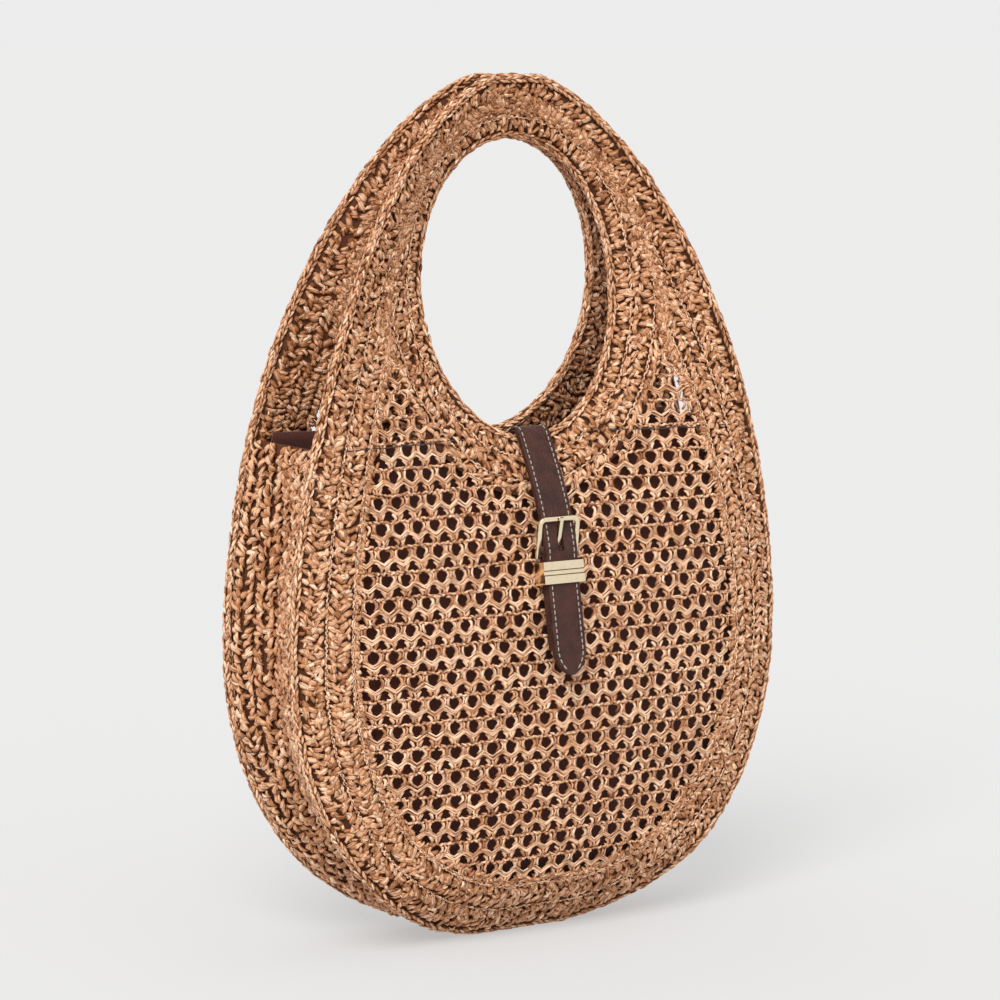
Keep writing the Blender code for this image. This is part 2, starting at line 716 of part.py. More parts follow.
def keeper():
    """A flat metal loop round the strap and the chape, with a groove along its front."""
    back = BAR_LEVEL - GAP / 2 - LEATHER - KEEPER_GAP / 2
    front = strap_level() + STRAP_THICKNESS / 2 + KEEPER_GAP
    wide = KEEPER_WIDTH / 2
    top = -CHAPE_NECK - GAP
    groove = KEEPER_GROOVE / 2
    middle = top - KEEPER_HEIGHT / 2
    inner = []
    outer = []
    for along, sunk in (
        (top, 0.0), (middle + groove * 1.25, 0.0), (middle + groove, 0.5),
        (middle - groove, 0.5), (middle - groove * 1.25, 0.0), (top - KEEPER_HEIGHT, 0.0),
    ):
        ahead = front + KEEPER_BAR * (1 - sunk)
        rim = [(wide, back - KEEPER_WALL), (wide, ahead), (-wide, ahead), (-wide, back - KEEPER_WALL)]
        gap = wide - KEEPER_WALL
        core = [(gap, back), (gap, front), (-gap, front), (-gap, back)]
        outer.append([space(x, TAIL.at(BAR_Z, level, along)) for x, level in rim])
        inner.append([space(x, TAIL.at(BAR_Z, level, along)) for x, level in core])
    grids = [np.swapaxes(np.array(grid), 0, 1) for grid in (outer, inner)]
    plate("strap_keeper", grids[0], grids[1], GOLD, FLAP, wrap=True)


def disc(name, frame, z, radii, levels, look, holder, hollow=0.0):
    """A turned piece on the front panel's centre line: a radius for each level out from it."""
    turn = np.arange(20) * math.pi / 10
    rings = np.array([
        [space(r * math.cos(t), frame.at(z, level, r * math.sin(t))) for t in turn]
        for r, level in zip(radii, levels)
    ])
    if hollow:
        bore = np.array([
            [space(hollow * math.cos(t), frame.at(z, level, hollow * math.sin(t))) for t in turn]
            for level in levels
        ])
        plate(
            name, np.swapaxes(rings, 0, 1), np.swapaxes(bore, 0, 1), look, holder, wrap=True
        )
    else:
        loft(name, rings, look, holder)


def snap():
    here = Tail(SNAP_Z)
    seat = CLOTH / 2 + GAP
    behind = CLOTH / 2 + SNAP_SEAT
    lift = (TAIL.at(SNAP_Z, 0.0) - here.start) @ here.out
    back = BAR_LEVEL - GAP / 2 - LEATHER - GAP
    height = back + lift - 2 * SNAP_PLATE - seat
    disc(
        "snap_female", here, SNAP_Z, [SNAP_RADIUS] * 2, [seat, seat + height], STEEL, BAG,
        SNAP_HOLE_RADIUS,
    )
    floor = back - SNAP_PLATE
    disc(
        "snap_male", TAIL, SNAP_Z,
        [SNAP_STUD_RADIUS, SNAP_STUD_RADIUS, SNAP_RADIUS, SNAP_RADIUS],
        [floor - SNAP_PLATE * 1.2, floor, floor + GAP / 10, back], STEEL, FLAP,
    )
    disc(
        "snap_washer", here, SNAP_Z, [SNAP_RADIUS] * 2, [-behind, -behind - SNAP_PLATE / 2],
        STEEL, BAG,
    )
    inside = behind + SNAP_PLATE / 2 + GAP
    outside = LINING_INSET - LINING / 2 - GAP
    patch(
        "snap_patch", SNAP_Z, PATCH_HALF, -(inside + outside) / 2, outside - inside, LEATHER_LOOK, -1
    )


def centre_on_origin():
    """Moves the bag so that the origin is under the middle of its bounding box."""
    bpy.context.view_layer.update()
    low, high = math.inf, -math.inf
    for made in bpy.data.objects:
        if made.type == "MESH":
            depths = [(made.matrix_world @ point.co).y for point in made.data.vertices]
            low, high = min(low, *depths), max(high, *depths)
    BAG.location.y -= (low + high) / 2


clear_scene()
STRAW = material("crocheted_raffia", (0.52, 0.28, 0.13), 0.6)
OPENWORK = material("openwork_raffia", (0.56, 0.32, 0.15), 0.6)
LINING_CLOTH = material("lining_twill", (0.12, 0.045, 0.03), 0.8)
LEATHER_LOOK = material("brown_leather", (0.075, 0.035, 0.028), 0.45)
GOLD = material("polished_gold", (0.85, 0.70, 0.45), 0.18, 1.0)
STEEL = material("nickel_steel", (0.6, 0.6, 0.6), 0.35, 1.0)

PLACE = {}
TAIL = Tail((STRAP_TIP_Z + BAR_Z + FRAME_HEIGHT) / 2)
BAG = axis("bag")
LIFT = axis("strap_lift_axis", *rear_hinge(), BAG)
FLAP = axis("strap_flap_axis", *front_hinge(), LIFT)
PRONG = axis("prong_axis", *TAIL.at(BAR_Z, BAR_LEVEL), FLAP)

for side, face in (("front", -1), ("rear", 1)):
    panel(side, face)
strip(
    "gusset", 0.0, EDGE_CORD / 2, GUSSET_HALF - EDGE_CORD / 2 - 2 * GAP, CLOTH, 61, 4, STRAW
)
lining()
closure_strap()
chape()
buckle()
keeper()
snap()
centre_on_origin()
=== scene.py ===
"""Looks of the crocheted hobo bag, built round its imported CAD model. Metres, +Z up, front to -Y."""

import json
import math

import bmesh
import bpy
import numpy as np
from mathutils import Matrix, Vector


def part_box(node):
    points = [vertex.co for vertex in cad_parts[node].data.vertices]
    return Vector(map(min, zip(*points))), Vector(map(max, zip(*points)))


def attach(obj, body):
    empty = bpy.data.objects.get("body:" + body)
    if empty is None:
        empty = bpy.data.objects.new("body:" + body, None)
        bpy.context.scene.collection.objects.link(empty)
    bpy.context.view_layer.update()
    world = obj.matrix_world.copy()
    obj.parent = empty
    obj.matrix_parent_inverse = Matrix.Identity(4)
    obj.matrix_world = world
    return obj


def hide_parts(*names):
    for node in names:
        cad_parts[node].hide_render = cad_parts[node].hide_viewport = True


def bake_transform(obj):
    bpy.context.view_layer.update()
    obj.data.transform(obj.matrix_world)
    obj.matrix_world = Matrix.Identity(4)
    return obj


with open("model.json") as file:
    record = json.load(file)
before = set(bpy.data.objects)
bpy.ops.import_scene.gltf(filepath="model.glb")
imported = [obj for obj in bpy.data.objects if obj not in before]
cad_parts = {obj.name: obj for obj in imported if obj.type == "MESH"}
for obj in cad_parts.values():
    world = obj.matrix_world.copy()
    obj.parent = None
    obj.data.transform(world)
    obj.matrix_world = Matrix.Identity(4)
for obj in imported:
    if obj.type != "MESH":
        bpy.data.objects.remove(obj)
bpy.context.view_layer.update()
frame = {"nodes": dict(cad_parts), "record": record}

RNG = np.random.default_rng(7)

# Driving sizes of the bag, as its CAD model has them.
HEIGHT = 0.455
HALF_WIDTH = 0.152
BELLY_Z = 0.161
LOWER_POWER = 2.15
UPPER_POWER = 1.78
FLAT_CUT = 0.0018
TOP_CUT = 0.0025
HOLE_Z = 0.344
HOLE_HALF_WIDTH = 0.059
HOLE_HALF_HEIGHT = 0.0775
GUSSET_HALF = 0.0335
TOP_HALF = 0.0105
HOLE_BOTTOM_HALF = 0.022
HOLE_SIDE_HALF = 0.010
HOLE_TOP_HALF = 0.0032
BULGE = 0.025
TUCK = 0.0195
TUCK_TOP = 0.050
SWAY = 0.005
CLOTH = 0.004
GAP = 0.0003
EDGE_CORD = 0.005
RIM_CORD = 0.0045
BORDER_WIDTH = 0.033
RING_WIDTH = 0.030
GUSSET_TOP = 0.268
GUSSET_FOLD = 0.010
FOLD_STARTS = 0.030
LINING_INSET = 0.0052
LINING_MARGIN = 0.0085
LINING_DIP = 0.014
LINING_DIP_REACH = 0.050
LINING_RISE = 0.003
POCKET_HALF_WIDTH = 0.070
POCKET_BOTTOM = 0.095
POCKET_TOP = 0.205
POCKET_GAP = 0.0035
STRAP_WIDTH = 0.0194
STRAP_THICKNESS = 0.0028
LEATHER = 0.0013
STRAP_TIP_Z = 0.143
TIP_LENGTH = 0.013
REAR_HINGE_Z = 0.240
ANCHOR_LENGTH = 0.034
RIM_CLEARANCE = 0.0012
RIM_TURN = 60.0
BAR_Z = 0.2052
BAR_LEVEL = 0.0065
BAR_RADIUS = 0.0010
BAR_CLEARANCE = 0.00025
FRAME_HEIGHT = 0.0183
CHAPE_SLOT = 0.0040
CHAPE_NECK = 0.0034
CHAPE_TIP_Z = 0.1565
KEEPER_WIDTH = STRAP_WIDTH + 0.0056
KEEPER_HEIGHT = 0.0116
KEEPER_BAR = 0.0009
KEEPER_GAP = 0.0005
PRONG_SLOT = (0.0018, 0.0147)
PRONG_SLOT_WIDTH = 0.0034
SNAP_Z = 0.165
PATCH_HALF = 0.014

# Sizes of the crochet.
STITCH = 0.0045            # along a dense row
MESH_PITCH = 0.0108        # openwork, across and up
MESH_RISE = 0.0130
SEAM_INSET = 0.0021        # the strap's stitches, from its edge
GLUE_HALF = 0.00008        # half the gap between its two plies
NORMAL_STEP = 0.0008       # for slopes of the shaped surfaces


# ---------------------------------------------------------------- camera, floor and light

def add(name, data):
    """A new object in the scene that shows this data."""
    made = bpy.data.objects.new(name, data)
    bpy.context.scene.collection.objects.link(made)
    return made


def put(made, **values):
    """Sets inputs of a shader node by name, with _ for a space."""
    for key, value in values.items():
        made.inputs[key.replace("_", " ")].default_value = value


def make_camera():
    data = bpy.data.cameras.new("camera")
    data.sensor_width = 36.0
    data.lens = 135.4
    data.shift_x = -0.0049
    data.shift_y = 0.0043
    camera = add("camera", data)
    bpy.context.scene.camera = camera
    turn, lift, far = math.radians(33.0), math.radians(7.18), 2.0
    ahead = Vector((
        math.sin(turn) * math.cos(lift), math.cos(turn) * math.cos(lift), -math.sin(lift)
    ))
    camera.location = Vector((0.0, MIDDLE_Y, HEIGHT / 2)) - ahead * far
    camera.rotation_euler = ahead.to_track_quat("-Z", "Y").to_euler()


def make_studio():
    scene = bpy.context.scene
    scene.view_settings.view_transform = "Standard"
    scene.view_settings.look = "None"
    world = bpy.data.worlds.new("studio")
    scene.world = world
    world.use_nodes = True
    put(world.node_tree.nodes["Background"], Color=(1.0, 1.0, 1.0, 1.0), Strength=0.84)
    data = bpy.data.lights.new("key", "SUN")
    data.energy = 2.5
    data.angle = math.radians(34.0)
    data.color = (1.0, 0.985, 0.965)
    key = add("key", data)
    key.rotation_euler = Vector((0.62, 0.62, -0.82)).to_track_quat("-Z", "Y").to_euler()
    mesh = bpy.data.meshes.new("floor")
    reach = 90.0
    mesh.from_pydata(
        [(-reach, -reach, 0), (reach, -reach, 0), (reach, reach, 0), (-reach, reach, 0)],
        [], [(0, 1, 2, 3)],
    )
    floor = add("floor", mesh)
    look = bpy.data.materials.new("pale_floor")
    look.use_nodes = True
    put(
        look.node_tree.nodes["Principled BSDF"], Base_Color=(0.30, 0.30, 0.30, 1.0), Roughness=1.0,
        Specular_IOR_Level=0.0, Emission_Color=(1.0, 1.0, 1.0, 1.0), Emission_Strength=0.43,
    )
    mesh.materials.append(look)


MIDDLE_Y = float(sum(corner[1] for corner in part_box("gusset")) / 2)
make_camera()
make_studio()


# ---------------------------------------------------------------- shape of the bag

SAMPLES = 1440


def offset(points, distance):
    ahead = np.roll(points, -1, axis=0) - np.roll(points, 1, axis=0)
    out = np.stack([ahead[:, 1], -ahead[:, 0]], axis=1)
    return points + distance * out / np.linalg.norm(out, axis=1)[:, None]


def even(points, count):
    ring = np.vstack([points, points[:1]])
    along = np.concatenate([[0], np.cumsum(np.linalg.norm(np.diff(ring, axis=0), axis=1))])
    at = np.linspace(0, along[-1], count + 1)[:-1]
    return np.stack([np.interp(at, along, ring[:, k]) for k in range(2)], axis=1)


def outline(inset=0.0):
    """Closed outline of a panel, anticlockwise from the bottom, as (x, z)."""
    turn = np.linspace(0.0, 2 * math.pi, SAMPLES + 1)[:-1]
    side, down = np.sin(turn), np.cos(turn)
    low = down > 0
    power = np.where(low, LOWER_POWER, UPPER_POWER)
    reach = np.where(low, BELLY_Z + FLAT_CUT, HEIGHT + TOP_CUT - BELLY_Z)
    x = HALF_WIDTH * np.sign(side) * np.abs(side) ** (2 / power)
    z = BELLY_Z - np.sign(down) * reach * np.abs(down) ** (2 / power)
    points = offset(even(np.stack([x, z], axis=1), SAMPLES), -inset)
    points[:, 1] = np.clip(points[:, 1], inset, HEIGHT - inset)
    return points


def hole(outset=0.0):
    turn = np.linspace(0.0, 2 * math.pi, SAMPLES + 1)[:-1]
    points = np.stack(
        [HOLE_HALF_WIDTH * np.sin(turn), HOLE_Z - HOLE_HALF_HEIGHT * np.cos(turn)], axis=1
    )
    return offset(points, outset)


def polar(x, z):
    """Bearing and distance of (x, z) from the middle of the handle opening, 0 straight down."""
    return np.arctan2(x, HOLE_Z - z), np.hypot(x, z - HOLE_Z)


def radius_table(points):
    angle, radius = polar(points[:, 0], points[:, 1])
    order = np.argsort(angle)
    return angle[order], radius[order]


def radius_at(table, bearing):
    return np.interp(bearing, table[0], table[1], period=2 * math.pi)


INNER = radius_table(hole())
OUTER = radius_table(outline())
RING_NEAR = radius_table(hole(RIM_CORD))
RING_FAR = radius_table(hole(RING_WIDTH))
BORDER_FAR = radius_table(outline(EDGE_CORD))
BORDER_NEAR = radius_table(outline(BORDER_WIDTH))


def ring_outside(bearing):
    half = (radius_at(RING_NEAR, bearing) + radius_at(BORDER_FAR, bearing)) / 2
    return np.minimum(radius_at(RING_FAR, bearing), half)


def border_inside(bearing):
    return np.maximum(radius_at(BORDER_NEAR, bearing), ring_outside(bearing))


def tuck(z):
    """How far a panel draws in towards the flat base."""
    return TUCK * np.clip(1 - z / TUCK_TOP, 0, 1) ** 2


def sway(z):
    """How far the cloth at height z lies behind the middle plane of the bag."""
    return SWAY * np.clip(1 - z / TUCK_TOP, 0, 1) ** 2


def edge_half(z):
    rise = np.clip((HEIGHT - z) / (HEIGHT - GUSSET_TOP), 0, 1)
    return TOP_HALF + (GUSSET_HALF - TOP_HALF) * np.sin(rise * math.pi / 2)


def rim_half(z):
    up = (z - HOLE_Z) / HOLE_HALF_HEIGHT
    slope = (HOLE_TOP_HALF - HOLE_BOTTOM_HALF) / 2
    curve = (HOLE_TOP_HALF + HOLE_BOTTOM_HALF) / 2 - HOLE_SIDE_HALF
    return HOLE_SIDE_HALF + slope * up + curve * up * up


def cloth_half(x, z):
    """Distance from the bag's middle plane to the middle of a panel's cloth at (x, z)."""
    bearing, far = polar(x, z)
    inner, outer = radius_at(INNER, bearing), radius_at(OUTER, bearing)
    share = np.clip((far - inner) / (outer - inner), 0, 1)
    rim = rim_half(HOLE_Z - inner * np.cos(bearing))
    edge = edge_half(HOLE_Z - outer * np.cos(bearing))
    swell = BULGE * 4 * share * (1 - share) * np.clip(np.cos(bearing), 0, 1) ** 2
    return rim + (edge - rim) * share + swell - tuck(z)


def on_panel(x, z, h, face):
    """(points, outward normals) at height h over the middle of a panel's cloth."""
    step = NORMAL_STEP
    away = cloth_half(x, z)
    slope_x = (cloth_half(x + step, z) - cloth_half(x - step, z)) / (2 * step)
    slope_z = (cloth_half(x, z + step) - cloth_half(x, z - step)) / (2 * step)
    slope_z = slope_z + face * (sway(z + step) - sway(z - step)) / (2 * step)
    normal = np.stack([-slope_x, face + 0 * away, -slope_z], axis=-1)
    normal /= np.linalg.norm(normal, axis=-1, keepdims=True)
    base = np.stack([x + 0 * away, MIDDLE_Y + sway(z) + face * away, z + 0 * away], axis=-1)
    return base + normal * np.asarray(h)[..., None], normal


class Line:
    """A closed or open line of (x, z) points read by distance along it, with its outward side."""

    def __init__(self, points, closed=True):
        self.closed = closed
        ring = np.vstack([points, points[:1]]) if closed else points
        steps = np.linalg.norm(np.diff(ring, axis=0), axis=1)
        self.along = np.concatenate([[0], np.cumsum(steps)])
        self.length = self.along[-1]
        self.ring = ring
        if closed:
            ahead = np.roll(points, -1, axis=0) - np.roll(points, 1, axis=0)
            ahead = np.vstack([ahead, ahead[:1]])
        else:
            ahead = np.gradient(points, axis=0)
        out = np.stack([ahead[:, 1], -ahead[:, 0]], axis=1)
        self.out = out / np.linalg.norm(out, axis=1)[:, None]

    def at(self, s, away=0.0):
        s = np.mod(s, self.length) if self.closed else np.clip(s, 0, self.length)
        x, z, ox, oz = (
            np.interp(s, self.along, column)
            for column in (self.ring[:, 0], self.ring[:, 1], self.out[:, 0], self.out[:, 1])
        )
        size = np.hypot(ox, oz)
        return x + away * ox / size, z + away * oz / size


# ---------------------------------------------------------------- materials

def new_material(name):
    made = bpy.data.materials.new(name)
    made.use_nodes = True
    return made, made.node_tree, made.node_tree.nodes["Principled BSDF"]


def node(tree, kind, **values):
    made = tree.nodes.new(kind)
    for key, value in values.items():
        if hasattr(made, key):
            setattr(made, key, value)
        else:
            put(made, **{key: value})
    return made


def pattern(tree, kind, **values):
    """A texture node that reads object coordinates."""
    made = node(tree, kind, **values)
    place = node(tree, "ShaderNodeTexCoord").outputs["Object"]
    tree.links.new(place, made.inputs["Vector"])
    return made


def uneven_gloss(tree, shader, source, low, high):
    gloss = node(tree, "ShaderNodeMapRange", To_Min=low, To_Max=high)
    tree.links.new(source, gloss.inputs["Value"])
    tree.links.new(gloss.outputs["Result"], shader.inputs["Roughness"])


def ramp(tree, source, stops):
    made = tree.nodes.new("ShaderNodeValToRGB")
    while len(made.color_ramp.elements) < len(stops):
        made.color_ramp.elements.new(0.5)
    for element, (place, colour) in zip(made.color_ramp.elements, stops):
        element.position = place
        element.color = (*colour, 1.0)
    tree.links.new(source, made.inputs["Fac"])
    return made.outputs["Color"]


def mixed(tree, kind, fac, a, b):
    made = tree.nodes.new("ShaderNodeMix")
    made.data_type = "RGBA"
    made.blend_type = kind
    for slot, value in ((0, fac), (6, a), (7, b)):
        if hasattr(value, "links") or isinstance(value, bpy.types.NodeSocket):
            tree.links.new(value, made.inputs[slot])
        else:
            made.inputs[slot].default_value = value
    return made.outputs[2]


def bump(tree, shader, height, strength, distance):
    made = node(tree, "ShaderNodeBump", Strength=strength, Distance=distance)
    tree.links.new(height, made.inputs["Height"])
    tree.links.new(made.outputs["Normal"], shader.inputs["Normal"])


def raffia(name, stops, roughness=0.5):
    """Flat paper raffia: each strand has its own tone, with fibres and creases along it."""
    made, tree, shader = new_material(name)
    tone = node(tree, "ShaderNodeAttribute", attribute_name="tone")
    along = node(tree, "ShaderNodeAttribute", attribute_name="fibre")
    blotch = pattern(tree, "ShaderNodeTexNoise", Scale=300.0, Detail=3.0)
    shift = node(tree, "ShaderNodeMath", operation="MULTIPLY_ADD")
    tree.links.new(blotch.outputs["Fac"], shift.inputs[0])
    shift.inputs[1].default_value = 0.62
    add = node(tree, "ShaderNodeMath", operation="SUBTRACT")
    tree.links.new(tone.outputs["Fac"], add.inputs[0])
    add.inputs[1].default_value = 0.31
    tree.links.new(add.outputs[0], shift.inputs[2])
    colour = ramp(tree, shift.outputs[0], stops)
    fibres = node(tree, "ShaderNodeTexNoise", Scale=1.0, Detail=3.0, Roughness=0.62)
    tree.links.new(along.outputs["Vector"], fibres.inputs["Vector"])
    streak = ramp(tree, fibres.outputs["Fac"], [
        (0.37, (0.15, 0.052, 0.018)), (0.48, (0.74, 0.60, 0.50)), (0.55, (1.0, 1.0, 1.0)),
    ])
    tree.links.new(mixed(tree, "MULTIPLY", 0.80, colour, streak), shader.inputs["Base Color"])
    put(shader, Roughness=roughness, Specular_IOR_Level=0.4)
    bump(tree, shader, fibres.outputs["Fac"], 0.75, 0.0006)
    return made


def fabric(name, dark, light, pitch, roughness):
    """Ribbed twill: fine slanting cords with a little unevenness."""
    made, tree, shader = new_material(name)
    wave = pattern(
        tree, "ShaderNodeTexWave", wave_type="BANDS", bands_direction="DIAGONAL",
        Scale=1.0 / pitch / 3.2, Distortion=1.2, Detail=2.0, Detail_Scale=3.0,
    )
    colour = ramp(tree, wave.outputs["Fac"], [(0.15, dark), (0.85, light)])
    cloud = pattern(tree, "ShaderNodeTexNoise", Scale=30.0, Detail=3.0)
    shade = ramp(tree, cloud.outputs["Fac"], [(0.3, (0.75, 0.75, 0.75)), (0.7, (1.0, 1.0, 1.0))])
    tree.links.new(mixed(tree, "MULTIPLY", 0.6, colour, shade), shader.inputs["Base Color"])
    put(shader, Roughness=roughness, Sheen_Weight=0.15)
    bump(tree, shader, wave.outputs["Fac"], 0.6, 0.0004)
    return made


def leather(name, dark, light, roughness):
    made, tree, shader = new_material(name)
    grain = pattern(tree, "ShaderNodeTexVoronoi", Scale=1300.0)
    cloud = pattern(tree, "ShaderNodeTexNoise", Scale=160.0, Detail=4.0)
    colour = ramp(tree, cloud.outputs["Fac"], [(0.3, dark), (0.75, light)])
    tree.links.new(colour, shader.inputs["Base Color"])
    uneven_gloss(tree, shader, cloud.outputs["Fac"], roughness - 0.08, roughness + 0.1)
    put(shader, Specular_IOR_Level=0.32)
    bump(tree, shader, grain.outputs["Distance"], 0.9, 0.0006)
    return made


def metal(name, colour, roughness):
    made, tree, shader = new_material(name)
    cloud = pattern(tree, "ShaderNodeTexNoise", Scale=420.0, Detail=3.0)
    pale = tuple(min(1.0, v * 1.08) for v in colour)
    tint = ramp(tree, cloud.outputs["Fac"], [(0.3, colour), (0.7, pale)])
    tree.links.new(tint, shader.inputs["Base Color"])
    uneven_gloss(tree, shader, cloud.outputs["Fac"], roughness * 0.8, roughness * 1.4)
    put(shader, Metallic=1.0)
    return made


STRAW_STOPS = [
    (0.0, (0.19, 0.052, 0.010)), (0.32, (0.44, 0.185, 0.068)),
    (0.62, (0.74, 0.395, 0.210)), (1.0, (1.0, 0.71, 0.49)),
]
RAFFIA = raffia("raffia_straw", STRAW_STOPS)
# Dark sheets under the stitches and inside the edge cords: painted shade that shows through the gaps
# between strands.
SHADE_SHEET = raffia("raffia_core", [(0.0, (0.050, 0.013, 0.003)), (1.0, (0.15, 0.050, 0.014))], 0.85)
TWILL = fabric("lining_twill_look", (0.030, 0.0035, 0.001), (0.130, 0.024, 0.007), 0.0007, 0.95)
THREAD = fabric("dark_thread", (0.03, 0.012, 0.008), (0.075, 0.03, 0.02), 0.0004, 0.7)
HIDE = leather("brown_leather_look", (0.030, 0.0065, 0.0035), (0.076, 0.022, 0.013), 0.42)
# Dark edge paint for the strap's glued line, also used as painted shade in the keeper's groove.
EDGE_PAINT_AND_SHADE = leather("edge_paint_and_groove_shade", (0.020, 0.007, 0.005), (0.036, 0.013, 0.010), 0.5)
WHITE_THREAD = fabric("pale_thread", (0.34, 0.29, 0.25), (0.64, 0.57, 0.50), 0.0004, 0.6)
GOLD = metal("pale_gold", (0.88, 0.74, 0.52), 0.16)
NICKEL = metal("nickel", (0.62, 0.61, 0.60), 0.28)


# ---------------------------------------------------------------- mesh building

def mesh_object(name, points, quads, look, tone=None, fibre=None, smooth=True):
    """An object of quads only, made from arrays."""
    mesh = bpy.data.meshes.new(name)
    count = len(quads)
    mesh.vertices.add(len(points))
    mesh.vertices.foreach_set("co", np.ascontiguousarray(points, dtype=np.float32).ravel())
    mesh.loops.add(count * 4)
    mesh.loops.foreach_set("vertex_index", np.ascontiguousarray(quads, dtype=np.int32).ravel())
    mesh.polygons.add(count)
    mesh.polygons.foreach_set("loop_start", np.arange(count, dtype=np.int32) * 4)
    mesh.update(calc_edges=True)
    if smooth:
        mesh.shade_smooth()
    if tone is not None:
        mesh.attributes.new("tone", "FLOAT", "POINT").data.foreach_set(
            "value", np.ascontiguousarray(tone, dtype=np.float32)
        )
    if fibre is not None:
        mesh.attributes.new("fibre", "FLOAT_VECTOR", "POINT").data.foreach_set(
            "vector", np.ascontiguousarray(fibre, dtype=np.float32).ravel()
        )
    mesh.materials.append(look)
    return add(name, mesh)


class Heap:
    """Strands gathered into one mesh."""

    def __init__(self):
        self.points, self.quads, self.tones, self.fibres, self.count = [], [], [], [], 0

    def strands(self, path, normal, half_width, half_thick, tone, sides=6):
        """Flattened strands along path (N, P, 3), lying on normal (N, P, 3), closed at the ends."""
        number, length = path.shape[:2]
        if not number:
            return
        ahead = np.gradient(path, axis=1)
        ahead /= np.linalg.norm(ahead, axis=2, keepdims=True) + 1e-12
        side = np.cross(ahead, normal)
        side /= np.linalg.norm(side, axis=2, keepdims=True) + 1e-12
        up = np.cross(side, ahead)
        turn = np.arange(sides) * 2 * math.pi / sides
        wide = np.broadcast_to(half_width, (number, length))[..., None, None]
        thick = np.broadcast_to(half_thick, (number, length))[..., None, None]
        rings = (
            path[:, :, None]
            + wide * np.cos(turn)[:, None] * side[:, :, None]
            + thick * np.sin(turn)[:, None] * up[:, :, None]
        )
        grid = np.arange(number * length * sides).reshape(number, length, sides) + self.count
        ahead_grid = np.roll(grid, -1, axis=2)
        walls = np.stack(
            [grid[:, :-1], ahead_grid[:, :-1], ahead_grid[:, 1:], grid[:, 1:]], axis=-1
        ).reshape(-1, 4)
        caps = []
        for row, order in ((grid[:, 0], -1), (grid[:, -1], 1)):
            for k in range(0, sides - 2, 2):
                corners = (0, k + 1, k + 2, (k + 3) % sides)
                cap = np.stack([row[:, corner] for corner in corners], -1)
                caps.append(cap[:, ::order])
        self.points.append(rings.reshape(-1, 3))
        self.quads.append(np.concatenate([walls] + caps))
        ends = 0.22 * (2 * np.abs(np.linspace(0, 1, length) - 0.5)) ** 3
        shade = np.broadcast_to(np.asarray(tone), (number, length)) - ends
        run = np.linalg.norm(np.diff(path, axis=1), axis=2)
        run = np.concatenate([np.zeros((number, 1)), np.cumsum(run, axis=1)], axis=1) * 130
        self.fibres.append(np.stack(np.broadcast_arrays(
            run[..., None], wide[..., 0] * np.cos(turn) * 2100, RNG.random((number, 1, 1)) * 90
        ), axis=-1).reshape(-1, 3))
        # Painted shade: each strand's sides and underside get a darker tone, as if shaded where
        # strands lie against each other; the +0.10 keeps the top as bright as before.
        low = 0.27 * (np.minimum(np.sin(turn), 0.9) - 0.9) + 0.10
        self.tones.append((shade[..., None] + low).ravel())
        self.count += number * length * sides

    def build(self, name, look):
        points = np.concatenate(self.points)
        points[:, 2] = np.maximum(points[:, 2], 0.0)
        return mesh_object(
            name, points, np.concatenate(self.quads), look, np.concatenate(self.tones),
            np.concatenate(self.fibres), look is not RAFFIA,
        )


def slab(name, outer, inner, look, wrap=False):
    """A closed sheet between two grids of points."""
    rows, columns = outer.shape[:2]
    points = np.concatenate([outer.reshape(-1, 3), inner.reshape(-1, 3)])
    index = np.arange(rows * columns).reshape(rows, columns)
    back = rows * columns
    here = index if wrap else index[:-1]
    there = np.roll(index, -1, axis=0) if wrap else index[1:]
    top = np.stack([here[:, :-1], here[:, 1:], there[:, 1:], there[:, :-1]], -1).reshape(-1, 4)
    quads = [top, (top + back)[:, ::-1]]
    for column, order in ((0, 1), (-1, -1)):
        a, b = here[:, column], there[:, column]
        quads.append(np.stack([a, b, b + back, a + back], -1)[:, ::order])
    if not wrap:
        for row, order in ((0, -1), (-1, 1)):
            a, b = index[row, :-1], index[row, 1:]
            quads.append(np.stack([a, b, b + back, a + back], -1)[:, ::order])
    return mesh_object(name, points, np.concatenate(quads), look, np.full(len(points), 0.5))


def jitter(shape, size):
    return RNG.normal(0.0, size, shape)


# ---------------------------------------------------------------- dense crochet

def shade_at(z, number):
    """Tone of strands at heights z: warmer and darker up the handle, lighter on the body."""
    fall = np.interp(z, [0.0, 0.05, 0.15, 0.3, HEIGHT], [0.48, 0.57, 0.62, 0.55, 0.46])
    return fall + jitter(number, 0.19)


def flat_strands(heap, line, face, s, away, h, wide, thick, keep=None, tone_shift=0.0, sides=6):
    """Strands whose points are at distances s along a line and away from it, all (N, P)."""
    x, z = line.at(s, away)
    h, wide, thick = (np.broadcast_to(v, s.shape) for v in (h, wide, thick))
    if keep is not None:
        middle = s.shape[1] // 2
        good = keep(x[:, middle], z[:, middle])
        x, z, h, wide, thick = (v[good] for v in (x, z, h, wide, thick))
    if abs(face) == 1:
        points, normal = on_panel(x, z, h, face)
    else:
        points, normal = on_panel(x, z, -h, face // 2)
        normal = -normal
    tone = shade_at(z[:, 0], len(z))[:, None] + tone_shift + 0 * z
    heap.strands(points, normal, wide, thick, tone, sides)


LEAF = np.array([0.42, 1.10, 1.04, 0.46])


